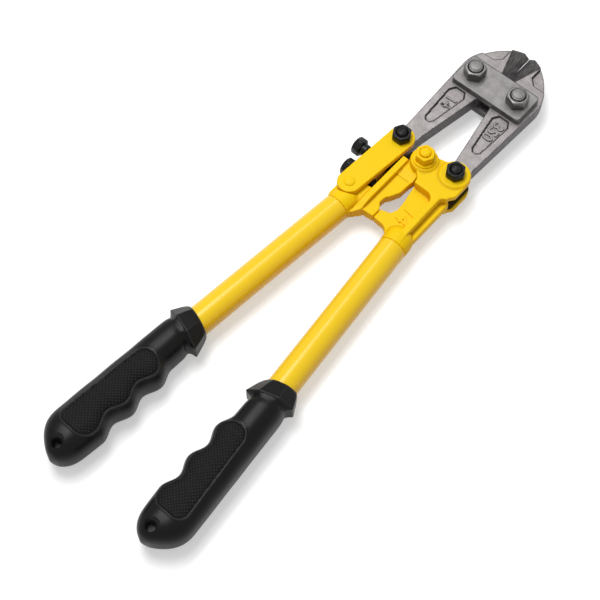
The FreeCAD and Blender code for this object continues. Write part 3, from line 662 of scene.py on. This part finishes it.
# ---- operators -----------------------------------------------------------------------------
class CUTTERS_OT_stage(bpy.types.Operator):
    """Set the floor, the lamps and the camera"""
    bl_idname = "cutters.stage"
    bl_label = "Stage"

    def execute(self, context):
        stage = context.scene.cutters_stage
        self.place_camera(context, stage)
        self.place_floor(context, stage)
        self.light(context, stage)
        context.scene.view_settings.view_transform = "Standard"
        return {"FINISHED"}

    def place_camera(self, context, stage):
        camera = bpy.data.objects.new("camera", bpy.data.cameras.new("camera"))
        context.scene.collection.objects.link(camera)
        flat = math.cos(stage.elevation)
        back = Vector((math.sin(stage.azimuth) * flat, -math.cos(stage.azimuth) * flat,
                       math.sin(stage.elevation)))
        camera.location = Vector(stage.target) + back * stage.distance
        camera.rotation_mode = "QUATERNION"
        camera.rotation_quaternion = (-back).to_track_quat("-Z", "Y")
        camera.data.lens = stage.lens
        camera.data.clip_start = 0.01
        camera.data.clip_end = 50.0
        context.scene.camera = camera

    def shows_white(self, nodes):
        """1 for rays that show the background, 0 for rays that light the tool."""
        seen = [nodes.node("LightPath", output=f"Is {kind} Ray")
                for kind in ("Camera", "Glossy", "Transmission")]
        return (seen[0] + seen[1] + seen[2]).limited()

    def place_floor(self, context, stage):
        half = 6000.0
        corners = [(-half, -half, 0), (half, -half, 0), (half, half, 0), (-half, half, 0)]
        mesh = mesh_of("floor", (corners, [(0, 1, 2, 3)]))
        floor = bpy.data.objects.new("floor", mesh)
        context.scene.collection.objects.link(floor)

        def values(nodes):
            lift = nodes.mix(self.shows_white(nodes), tinted(WHITE, 0.0), tinted(WHITE, stage.floor_lift))
            return {"Base Color": rgba(stage.floor_colour), "Roughness": 0.9,
                    "Specular IOR Level": 0.0, "Emission Color": lift, "Emission Strength": 1.0}

        mesh.materials.append(finish("pale floor", values))

    def light(self, context, stage):
        world = bpy.data.worlds.new("sky")
        world.use_nodes = True
        context.scene.world = world
        nodes = Nodes(world.node_tree)
        colour = nodes.mix(self.shows_white(nodes), tinted(WHITE, stage.sky), rgba(WHITE))
        sky = nodes.node("Background", {}, {"Color": colour, "Strength": 1.0})
        nodes.node("OutputWorld", {}, {"Surface": sky})
        target = Vector(stage.target)
        lamps = (("key", stage.key_power, (-0.26, 0.02, 0.96), 1.1, (0.46, 0.46)),
                 ("strip", stage.rim_power, (-0.31, 0.345, 0.887), 1.1, (0.09, 0.8)))
        for name, power, direction, away, (wide, high) in lamps:
            lamp = bpy.data.objects.new(name, bpy.data.lights.new(name, "AREA"))
            lamp.data.energy = power
            lamp.data.shape = "RECTANGLE"
            lamp.data.size = wide
            lamp.data.size_y = high
            towards = Vector(direction).normalized()
            lamp.location = target + towards * away
            along = Vector((0.0, 1.0, 0.0)) - towards * towards.y
            along.normalize()
            turn = Matrix((along.cross(towards), along, towards)).transposed()
            lamp.rotation_mode = "QUATERNION"
            lamp.rotation_quaternion = turn.to_quaternion()
            context.scene.collection.objects.link(lamp)


def digits(name, text, height, middle, level, turn, rise=1.1, bold=0.10):
    """Raised figures on a flat face: middle is (x, y) and level the face's height, in millimetres."""
    size_per_height = 1.38
    curve = bpy.data.curves.new(name, "FONT")
    curve.body = text
    curve.size = height * size_per_height
    curve.align_x = "CENTER"
    curve.align_y = "CENTER"
    curve.extrude = rise / 2
    curve.offset = bold
    curve.bevel_depth = 0.16
    curve.bevel_resolution = 2
    text_object = bpy.data.objects.new(name, curve)
    bpy.context.scene.collection.objects.link(text_object)
    mesh = evaluated_mesh(text_object)
    bpy.data.objects.remove(text_object)
    work = bmesh.new()
    work.from_mesh(mesh)
    bmesh.ops.remove_doubles(work, verts=work.verts, dist=0.0005)
    work.to_mesh(mesh)
    work.free()
    face = Matrix.Rotation(math.radians(turn), 4, "Z")
    place = Matrix.Translation((middle[0], middle[1], level)) @ face
    mesh.transform(Matrix.Scale(MM, 4) @ place)
    shade(mesh)
    return mesh


class CUTTERS_OT_jaws(bpy.types.Operator):
    """Make the two forged jaws, with the figures raised on their tails"""
    bl_idname = "cutters.jaws"
    bl_label = "Jaws"

    def execute(self, context):
        figures = {"left": "14", "right": "350"}
        cell, panel_sink, high, off_middle, towards_strap, lean = 0.42, 0.8, 6.6, 15.5, 0.635, 4.0
        for word, side in SIDES:
            node = f"jaw_{word}"
            mesh = forged_copy(node, cell, 1, crisp=True)
            self.close_slit(mesh, side)
            add_piece(f"{node}_forging", mesh, blasted_steel(), node)
            tail = middle_of(f"tail_nut_{word}")
            strap = middle_of(f"strap_nut_{word}")
            level = span_of(node)[1] - panel_sink
            place = (side * off_middle, tail.y + (strap.y - tail.y) * towards_strap)
            turn = 270.0 - side * lean
            raised = digits(f"{node}_figures", figures[word], high, place, level, turn)
            add_piece(f"{node}_figures", raised, ground_steel(), node, replaced=False)
        return {"FINISHED"}

    def close_slit(self, mesh, side):
        """Grind the cutting edges so that only a hair of light shows between them."""
        reach, grind, heel_ahead, closed_share, widest, hair = 2.0, 0.22, 10.4, 0.36, 0.27, 0.02
        cad_gap, cad_widening = 0.15, 0.30
        heel, nose = middle_of("strap_nut_left").y + heel_ahead, span_of("jaw_left", 1)[1]
        for vertex in mesh.vertices:
            across, y = vertex.co.x * side / MM, vertex.co.y / MM
            share = (y - heel) / (nose - heel)
            edge = cad_gap + cad_widening * share
            closed = hair + min(max(share - closed_share, 0.0), widest)
            if share > 0 and across < edge + grind:
                vertex.co.x = side * closed * MM
            elif share > 0 and across < reach:
                moved = max(edge - closed, 0.0) * (reach - across) / (reach - edge)
                vertex.co.x -= side * moved * MM


class CUTTERS_OT_strap(bpy.types.Operator):
    """Make the two strap plates with their bolts and nuts"""
    bl_idname = "cutters.strap"
    bl_label = "Strap"

    def execute(self, context):
        cell, across, radius, head = 0.40, 11.7, 4.0, 4.2
        for word in ("top", "bottom"):
            node = f"strap_plate_{word}"
            add_piece(f"{node}_ground", forged_copy(node, cell, 1, crisp=True), ground_steel(), node)
        for word, spin in (("left", -31.0), ("right", -19.0)):
            standing_bolt(f"strap_bolt_{word}", across, radius, head, spin, bright_steel())
            standing_nut(f"strap_nut_{word}", across, radius, spin, bright_steel())
        return {"FINISHED"}


def corner_fillet(x, y, way, radius, level, high):
    """A solid that rounds the upright corner at x, y, open towards -Y and towards way along X."""
    sunk, steps = 1.0, 10
    middle = Vector((x + way * radius, y - radius))
    arc = [(middle.x - way * radius * math.sin(turn), middle.y + radius * math.cos(turn))
           for turn in (math.radians(90 / steps * step) for step in range(steps + 1))]
    edge = [(x - way * sunk, y + sunk), (middle.x, y + sunk), *arc, (x - way * sunk, middle.y)]
    return skin([[(*corner, level + height) for corner in edge] for height in (-high, high)],
                first_cap=True, last_cap=True)


def paint_slot_shade(mesh, centre, level, shade_stops_behind=-11.5):
    """Write painted shade on the faces inside a fork's slot, which look at each other across the middle
    plane.
    """
    shade_stops_beyond, fade, half = 26.9, 0.6, 4.6
    place, normal = points_of(mesh)
    place = place / MM
    above = place[:, 2] - level
    facing = -normal[:, 2] * np.sign(above)
    # Painted shade where faces look at each other across the middle plane, fading out near the rim and
    # behind the slot.
    slot_shade = np.clip(facing * 1.5, 0, 1) * (np.abs(above) < half)
    slot_shade *= np.clip((shade_stops_beyond - place[:, 0]) / fade, 0, 1)
    slot_shade *= np.clip((place[:, 1] - centre.y - shade_stops_behind) / fade, 0, 1)
    write_on(mesh, "slot_shade", slot_shade)


class CUTTERS_OT_heads(bpy.types.Operator):
    """Make the two painted handle heads"""
    bl_idname = "cutters.heads"
    bl_label = "Handle heads"

    def execute(self, context):
        centre = middle_of("centre_nut")
        level = middle_of("handle_tube_right").z
        rib_inner, rib_outer, plate_back, ear_foot = 18.4, 22.0, -14.9, -12.3
        inner_round, outer_round, ear_top, cell, passes = 4.5, 3.2, 7.85, 0.42, 6
        fillets = {"left": (), "right": (
            corner_fillet(rib_inner, centre.y + plate_back, -1, inner_round, level, ear_top),
            corner_fillet(rib_outer, centre.y + ear_foot, 1, outer_round, level, ear_top))}
        for word, side in SIDES:
            node = f"handle_head_{word}"
            mesh = forged_copy(node, cell, passes, added=fillets[word])
            # Painted shade inside the fork's slot.
            paint_slot_shade(mesh, centre, level)
            if side < 0:
                self.run_out(mesh, centre, level)
            add_piece(f"{node}_casting", mesh, yellow_paint(), node)
        web_top, high, across, back, turn = level + 2.6, 8.4, 13.4, 32.2, 264.0
        raised = digits("head_figures", "14", high, (across, centre.y - back), web_top + 0.1,
                        turn, rise=0.9, bold=0.0)
        add_piece("head_figures", raised, yellow_paint(), "handle_head_right", replaced=False)
        return {"FINISHED"}

    def run_out(self, mesh, centre, level):
        """Let the left rib's end and the tongue's step run out into the web, as a forging does."""
        web, rib_outer, rib_inner, web_inner = 3.0, -12.6, -6.9, 4.0
        rib_from, rib_long, step_from, step_long = -37.0, 11.0, -8.6, 5.0
        for vertex in mesh.vertices:
            x, y, z = vertex.co.x / MM, vertex.co.y / MM - centre.y, vertex.co.z / MM - level
            if abs(z) <= web or not rib_outer < x < web_inner:
                continue
            if x < rib_inner:
                share = min(max((rib_from - y) / rib_long, 0.0), 1.0) * min(x - rib_outer, 1.0) * 0.88
            else:
                share = min(max((step_from - y) / step_long, 0.0), 1.0)
            vertex.co.z -= math.copysign((abs(z) - web) * eased(share) * MM, z)


class CUTTERS_OT_pivots(bpy.types.Operator):
    """Make the centre bolt, the two tail bolts and their nuts and washer"""
    bl_idname = "cutters.pivots"
    bl_label = "Pivots"

    def execute(self, context):
        across, radius, head = 10.0, 3.0, 3.5
        for word in ("left", "right"):
            standing_bolt(f"tail_bolt_{word}", across, radius, head, 0.0, black_oxide())
            standing_nut(f"tail_nut_{word}", across, radius, 0.0, black_oxide())
        standing_bolt("centre_bolt", across, radius, head, 0.0, yellow_paint(), depth=0.1)
        standing_nut("centre_nut", across, radius, 0.0, yellow_paint())
        low, high = span_of("centre_washer")
        bore, rim, edge = radius + RUNNING_GAP, 6.7, 0.3
        profile = [(bore, low), (rim - edge, low), (rim, low + edge), (rim, high - edge),
                   (rim - edge, high), (bore, high)]
        turned_piece("centre_washer", lathe(profile, loop=True), yellow_paint())
        return {"FINISHED"}


class CUTTERS_OT_adjuster(bpy.types.Operator):
    """Make the link plates, their rivet and block, and the two side screws"""
    bl_idname = "cutters.adjuster"
    bl_label = "Adjuster"

    def execute(self, context):
        centre, level = middle_of("centre_nut"), middle_of("handle_tube_left").z
        cell, passes, past_link, collar_radius, collar_long = 0.38, 3, -60.0, 3.6, 3.2
        for node in ("link_plate_top", "link_plate_bottom", "link_block"):
            mesh = forged_copy(node, cell, passes)
            # Painted shade on the faces between the link plates.
            paint_slot_shade(mesh, centre, level, shade_stops_behind=past_link)
            add_piece(f"{node}_forging", mesh, yellow_paint(), node)
        self.rivet()
        self.side_screw("adjusting_screw", collar=(collar_radius, collar_long))
        self.side_screw("lock_screw")
        return {"FINISHED"}

    def rivet(self):
        """The link's rivet, with a low dome at both ends."""
        low, high = span_of("link_rivet")
        dome, shank, rim = 0.8, 2.8, 3.1
        top = [(shank, high - dome), (rim, high - dome), (rim, high - dome * 0.72),
               (rim * 0.86, high - dome * 0.30), (rim * 0.55, high - dome * 0.06), (PIN_POINT, high)]
        foot = [(radius, low + high - height) for radius, height in reversed(top)]
        turned_piece("link_rivet", lathe(foot + top), yellow_paint())

    def side_screw(self, node, collar=None):
        """A screw that lies across the tool, with its head outside and a collar if it has one."""
        across, head, radius, edge = 9.4, 5.0, 3.0, 0.3
        low, high = span_of(node, 0)
        middle = middle_of(node)
        pitch = bpy.context.scene.cutters_steel.pitch / MM
        shells = [hex_shell(across, 0.0, head), thread_shell(radius, head * 0.5, high - low, pitch)]
        if collar is not None:
            wide, deep = collar
            shells.append(lathe([(PIN_POINT, head * 0.5), (wide, head * 0.5), (wide, head + deep - edge),
                                 (wide - edge, head + deep), (PIN_POINT, head + deep)]))
        place = Matrix.Translation((low, middle.y, middle.z)) @ Matrix.Rotation(math.radians(90), 4, "Y")
        mesh = mesh_of(node, joined(*shells), place)
        shade(mesh)
        add_piece(f"{node}_turned", mesh, black_oxide(), node)


class CUTTERS_OT_tubes(bpy.types.Operator):
    """Make the two painted handle tubes"""
    bl_idname = "cutters.tubes"
    bl_label = "Handle tubes"

    def execute(self, context):
        radius, wall, lip, long, steps, columns = 8.0, 1.8, 0.35, 184.0, 24, 96
        seam_back, seam_span = 50.8, 19.4
        centre = middle_of("centre_nut")
        inner = radius - wall
        outside = [(radius, lip + (long - 2 * lip) * step / steps) for step in range(steps + 1)]
        profile = [(inner + lip, 0.0), (radius - lip, 0.0), *outside, (radius - lip, long),
                   (inner + lip, long), (inner, long - lip), (inner, lip)]
        for word, side in SIDES:
            node = f"handle_tube_{word}"
            turn = Matrix.Rotation(math.radians(SPLAY) * side, 4, "Z")
            down = Matrix.Rotation(math.radians(90), 4, "X")
            place = Matrix.Translation((seam_span * side, centre.y - seam_back, middle_of(node).z))
            mesh = mesh_of(node, lathe(profile, columns, loop=True), place @ turn @ down)
            shade(mesh)
            add_piece(f"{node}_painted", mesh, tube_paint(), node)
        return {"FINISHED"}


class CUTTERS_OT_grips(bpy.types.Operator):
    """Mould the two grips: flange, finger waves, cross-hatched panels and hanging hole"""
    bl_idname = "cutters.grips"
    bl_label = "Grips"

    columns = 176
    long, rim_back, neck_back, ease_back = 104.0, 9.6, 3.6, 9.0
    bore, lip, lip_round, lip_back = 8.04, 9.0, 0.35, 0.6
    flange_wide, flange_high, rim_cut, rim_end = 13.1, 12.5, 0.45, 0.8
    slant, groove = 17.0, 0.4

    def execute(self, context):
        for word, side in SIDES:
            self.mould(f"grip_{word}", side)
        return {"FINISHED"}

    def axis(self, back):
        """The tube's axis off the middle line, at a distance ahead of the grip's end."""
        end_span = 38.63
        return end_span - back * math.tan(math.radians(SPLAY))

    def body_section(self, back):
        """Middle, half width and half height of the body, at a distance ahead of its end."""
        wave_start, wave_long, wave_deep, wave_count = 76.6, 20.6, 1.7, 2.5
        inner_span, widening, behind, ahead, outer_reach = 20.5, 0.45, 2.5, 1.2, 10.6
        blend, high, tip, tip_share = 22.0, 12.3, 2.2, 0.7
        place = (wave_start - back) / wave_long
        waved = min(max(place, 0.0), wave_count)
        inner = inner_span + wave_deep * math.cos(2 * math.pi * waved) + widening * (waved - 1)
        inner += behind * max(place - wave_count, 0.0) + ahead * min(place, 0.0)
        outer = self.axis(back) + outer_reach
        if back < blend:
            left = 1 - back / blend
            outer -= (outer - inner) * 0.62 * left ** 2.6
            inner += blend * 0.325 * left ** 5
            high *= math.sqrt(1 - 0.93 * left ** 4)
        shrink = 1.0
        if back < tip:
            shrink = math.sqrt(max(1 - ((tip - back) / tip) ** 2, 0.0)) * tip_share + 1 - tip_share
        return (inner + outer) / 2, (outer - inner) / 2 * shrink, high * shrink

    def ring(self, side, middle, half_wide, half_high, y, slant=0.0, facets=0.0, squareness=2.5):
        """One section: oval, or towards eight facets, turned about the upright by slant degrees."""
        points = []
        turn, eighth, facet_reach = math.radians(slant) * side, math.radians(45), 0.985
        for column in range(self.columns):
            angle = 2 * math.pi * column / self.columns
            across, up = math.cos(angle), math.sin(angle)
            oval = (abs(across) ** squareness + abs(up) ** squareness) ** (-1 / squareness)
            inside = (angle + eighth / 2) % eighth - eighth / 2
            reach = oval + (facet_reach / math.cos(inside) - oval) * facets
            x, z = half_wide * reach * across, half_high * reach * up
            points.append((side * middle + x * math.cos(turn), y + x * math.sin(turn), z))
        return points

    def tube_ring(self, side, end, y, half_wide, half_high, facets):
        """A slanted section about the tube's axis."""
        return self.ring(side, self.axis(y - end), half_wide, half_high, y, self.slant, facets, 2.0)

    def flange(self, side, end):
        """Rings from inside the mouth, round its lip and out to the flange's rim."""
        mouth, rim = end + self.long, end + self.long - self.rim_back
        bore, lip, lip_end = self.bore, self.lip, self.lip + self.lip_round
        wide, high, steps = self.flange_wide, self.flange_high, 14
        mouth_steps = ((7.0, bore, 0.0), (0.6, bore, 0.0), (0.1, bore + 0.2, 0.0),
                       (0.0, bore + 0.55, 0.0), (0.15, lip, 0.3), (self.lip_back, lip_end, 0.6))
        rings = [self.tube_ring(side, end, mouth - back, radius, radius, facets)
                 for back, radius, facets in mouth_steps]
        for step in range(1, steps + 1):
            share = step / steps
            y = mouth - self.lip_back - (self.rim_back - 1.1) * share
            grow = share ** 0.9
            rings.append(self.tube_ring(side, end, y, lip_end + (wide - lip - 0.55) * grow,
                                        lip_end + (high - lip - 0.55) * grow,
                                        0.6 + 0.4 * min(share * 3, 1.0)))
        for ahead, inset in ((0.25, 0.06), (-0.1, 0.0), (-0.55, 0.12), (-self.rim_end, self.rim_cut)):
            rings.append(self.tube_ring(side, end, rim + ahead, wide - inset, high - inset, 1.0))
        return rings

    def neck(self, side, end):
        """Rings from the flange's back down into the groove, and out of it onto the body."""
        rim = end + self.long - self.rim_back
        neck = rim - self.neck_back
        wide, high = self.flange_wide - self.rim_cut, self.flange_high - self.rim_cut
        middle, half, tall = self.body_section(neck - end)
        fall_steps, ease_steps = 8, 18
        rings = []
        for step in range(1, fall_steps + 1):
            share = step / fall_steps
            y = rim - self.rim_end - (self.neck_back - self.rim_end) * share
            fall = 1 - (1 - share) ** 2.2
            axis = self.axis(y - end)
            rings.append(self.ring(side, axis + (middle - axis) * share,
                                   wide + (half - self.groove - wide) * fall,
                                   high + (tall - self.groove - high) * fall,
                                   y, self.slant, 1 - share, 2.0 + 0.5 * share))
        for step in range(1, ease_steps + 1):
            share = step / ease_steps
            y = neck - self.ease_back * share
            middle, half, tall = self.body_section(y - end)
            sunk = self.groove * (1 - min(share * 3, 1.0)) ** 2
            rings.append(self.ring(side, middle, half - sunk, tall - sunk, y,
                                   self.slant * (1 - eased(share))))
        return rings

    def body(self, side, end):
        """Rings down the body, closest where it is cross-hatched."""
        hatched_from, hatched_to, fine, coarse, least = 12.0, 73.0, 0.38, 0.9, 0.02
        y = end + self.long - self.rim_back - self.neck_back - self.ease_back
        rings = []
        while y > end + least:
            back = y - end
            if back >= hatched_to:
                step = coarse
            elif back > hatched_from:
                step = fine
            else:
                step = 0.3 + 0.05 * back
            y = max(y - step, end)
            middle, half, tall = self.body_section(y - end)
            rings.append(self.ring(side, middle, half, tall, y))
        return rings

    def mould(self, node, side):
        end, level = span_of(node, 1)[0], middle_of(node).z
        rings = self.flange(side, end) + self.neck(side, end) + self.body(side, end)
        mesh = mesh_of(node, skin(rings, first_cap=True, last_cap=True),
                       Matrix.Translation((0, 0, level)))
        self.cross_hatch(mesh, side, end)
        mark_bends(mesh, 1)
        self.pierce(mesh, side, end, level)
        shade(mesh, 46.0)
        add_piece(f"{node}_moulding", mesh, grip_rubber(), node)

    def cross_hatch(self, mesh, side, end):
        """Sink a leaf-shaped panel in the top and bottom faces, and raise its cross-hatching."""
        grip = bpy.context.scene.cutters_grip
        low_end, high_end, corner, edge, inner_margin = 17.0, 73.0, 6.0, 0.6, 2.6
        outer_reach, taper, stations, tops, ridge_high, full = 5.0, 0.02, 401, 0.30, 0.22, 1.3
        place, normal = points_of(mesh)
        back = place[:, 1] / MM - end
        along = back - (low_end + high_end) / 2
        across = place[:, 0] / MM * side - self.axis(back)
        backs = np.linspace(0.0, 100.0, stations)
        sections = [self.body_section(station) for station in backs]
        inner_edge = [middle - half - self.axis(station)
                      for station, (middle, half, _) in zip(backs, sections)]
        inner = np.interp(back, backs, inner_edge) + inner_margin
        outer = outer_reach - along * taper
        beside = np.minimum(across - inner, outer - across)
        ahead = np.minimum(back - low_end, high_end - back)
        rounded = corner - np.hypot(corner - beside, corner - ahead)
        at_corner = (beside < corner) & (ahead < corner)
        inside = np.where(at_corner, rounded, np.minimum(beside, ahead))
        inside = np.where(np.abs(normal[:, 2]) > tops, inside, -9.0)
        panel = eased(np.clip(inside / edge, 0, 1))
        ridge = np.exp(-((inside + 0.4) / 0.5) ** 2)
        pitch = grip.knurl_pitch / MM
        first = np.abs(((across + along) / pitch) % 1.0 * 2 - 1)
        second = np.abs(((across - along) / pitch) % 1.0 * 2 - 1)
        stud = np.minimum(first, second) * np.clip((inside - 0.6) / 0.5, 0, 1)
        lift = ridge * ridge_high * MM - panel * grip.panel_depth + stud * grip.knurl_depth * full
        place += normal * lift[:, None].astype(np.float32)
        mesh.vertices.foreach_set("co", place.ravel())
        mesh.update()
        write_on(mesh, "panel", panel)

    def pierce(self, mesh, side, end, level):
        """Cut the hanging hole, with a dished land at both ends."""
        hole, back, inside, mouth, surface, past = 2.5, 7.2, 5.96, 1.3, 11.2, 16.0
        x, y = side * (self.axis(back) - inside), end + back
        top = [(hole, surface - 2.0), (hole + 0.3, surface - mouth), (hole + mouth, surface),
               (hole + mouth + 4, past), (PIN_POINT, past)]
        profile = [(radius, -height) for radius, height in reversed(top)] + top
        cutter = bpy.data.objects.new("punch", mesh_of("punch", lathe(profile, 48),
                                                       Matrix.Translation((x, y, level))))
        blank = bpy.data.objects.new("blank", mesh.copy())
        for item in (cutter, blank):
            bpy.context.scene.collection.objects.link(item)
        boolean = blank.modifiers.new("hole", "BOOLEAN")
        boolean.operation = "DIFFERENCE"
        boolean.solver = "EXACT"
        boolean.object = cutter
        made = evaluated_mesh(blank)
        for item in (cutter, blank):
            bpy.data.objects.remove(item)
        work = bmesh.new()
        work.from_mesh(made)
        work.to_mesh(mesh)
        work.free()
        bpy.data.meshes.remove(made)


class CUTTERS_PT_panel(bpy.types.Panel):
    """Buttons for the pieces of the bolt cutters"""
    bl_label = "Bolt Cutters"
    bl_idname = "CUTTERS_PT_panel"
    bl_space_type = "VIEW_3D"
    bl_region_type = "UI"
    bl_category = "Cutters"

    def draw(self, context):
        for operator in OPERATORS:
            self.layout.operator(operator.bl_idname)
        for group in SETTINGS:
            box = self.layout.box()
            settings = getattr(context.scene, group)
            for name in settings.bl_rna.properties.keys():
                if name not in ("rna_type", "name"):
                    box.prop(settings, name)


SETTINGS = {"cutters_stage": StageSettings, "cutters_paint": PaintSettings,
            "cutters_steel": SteelSettings, "cutters_grip": GripSettings}
OPERATORS = (CUTTERS_OT_stage, CUTTERS_OT_jaws, CUTTERS_OT_strap, CUTTERS_OT_heads, CUTTERS_OT_pivots,
             CUTTERS_OT_adjuster, CUTTERS_OT_tubes, CUTTERS_OT_grips)


def register():
    for group, settings in SETTINGS.items():
        bpy.utils.register_class(settings)
        setattr(bpy.types.Scene, group, bpy.props.PointerProperty(type=settings))
    for operator in OPERATORS:
        bpy.utils.register_class(operator)
    bpy.utils.register_class(CUTTERS_PT_panel)


def unregister():
    bpy.utils.unregister_class(CUTTERS_PT_panel)
    for operator in reversed(OPERATORS):
        bpy.utils.unregister_class(operator)
    for group, settings in SETTINGS.items():
        delattr(bpy.types.Scene, group)
        bpy.utils.unregister_class(settings)


def main():
    register()
    for operator in OPERATORS:
        family, name = operator.bl_idname.split(".")
        if getattr(getattr(bpy.ops, family), name)() != {"FINISHED"}:
            raise RuntimeError(f"{operator.bl_label} wasn't finished")


if __name__ == "__main__":
    main()
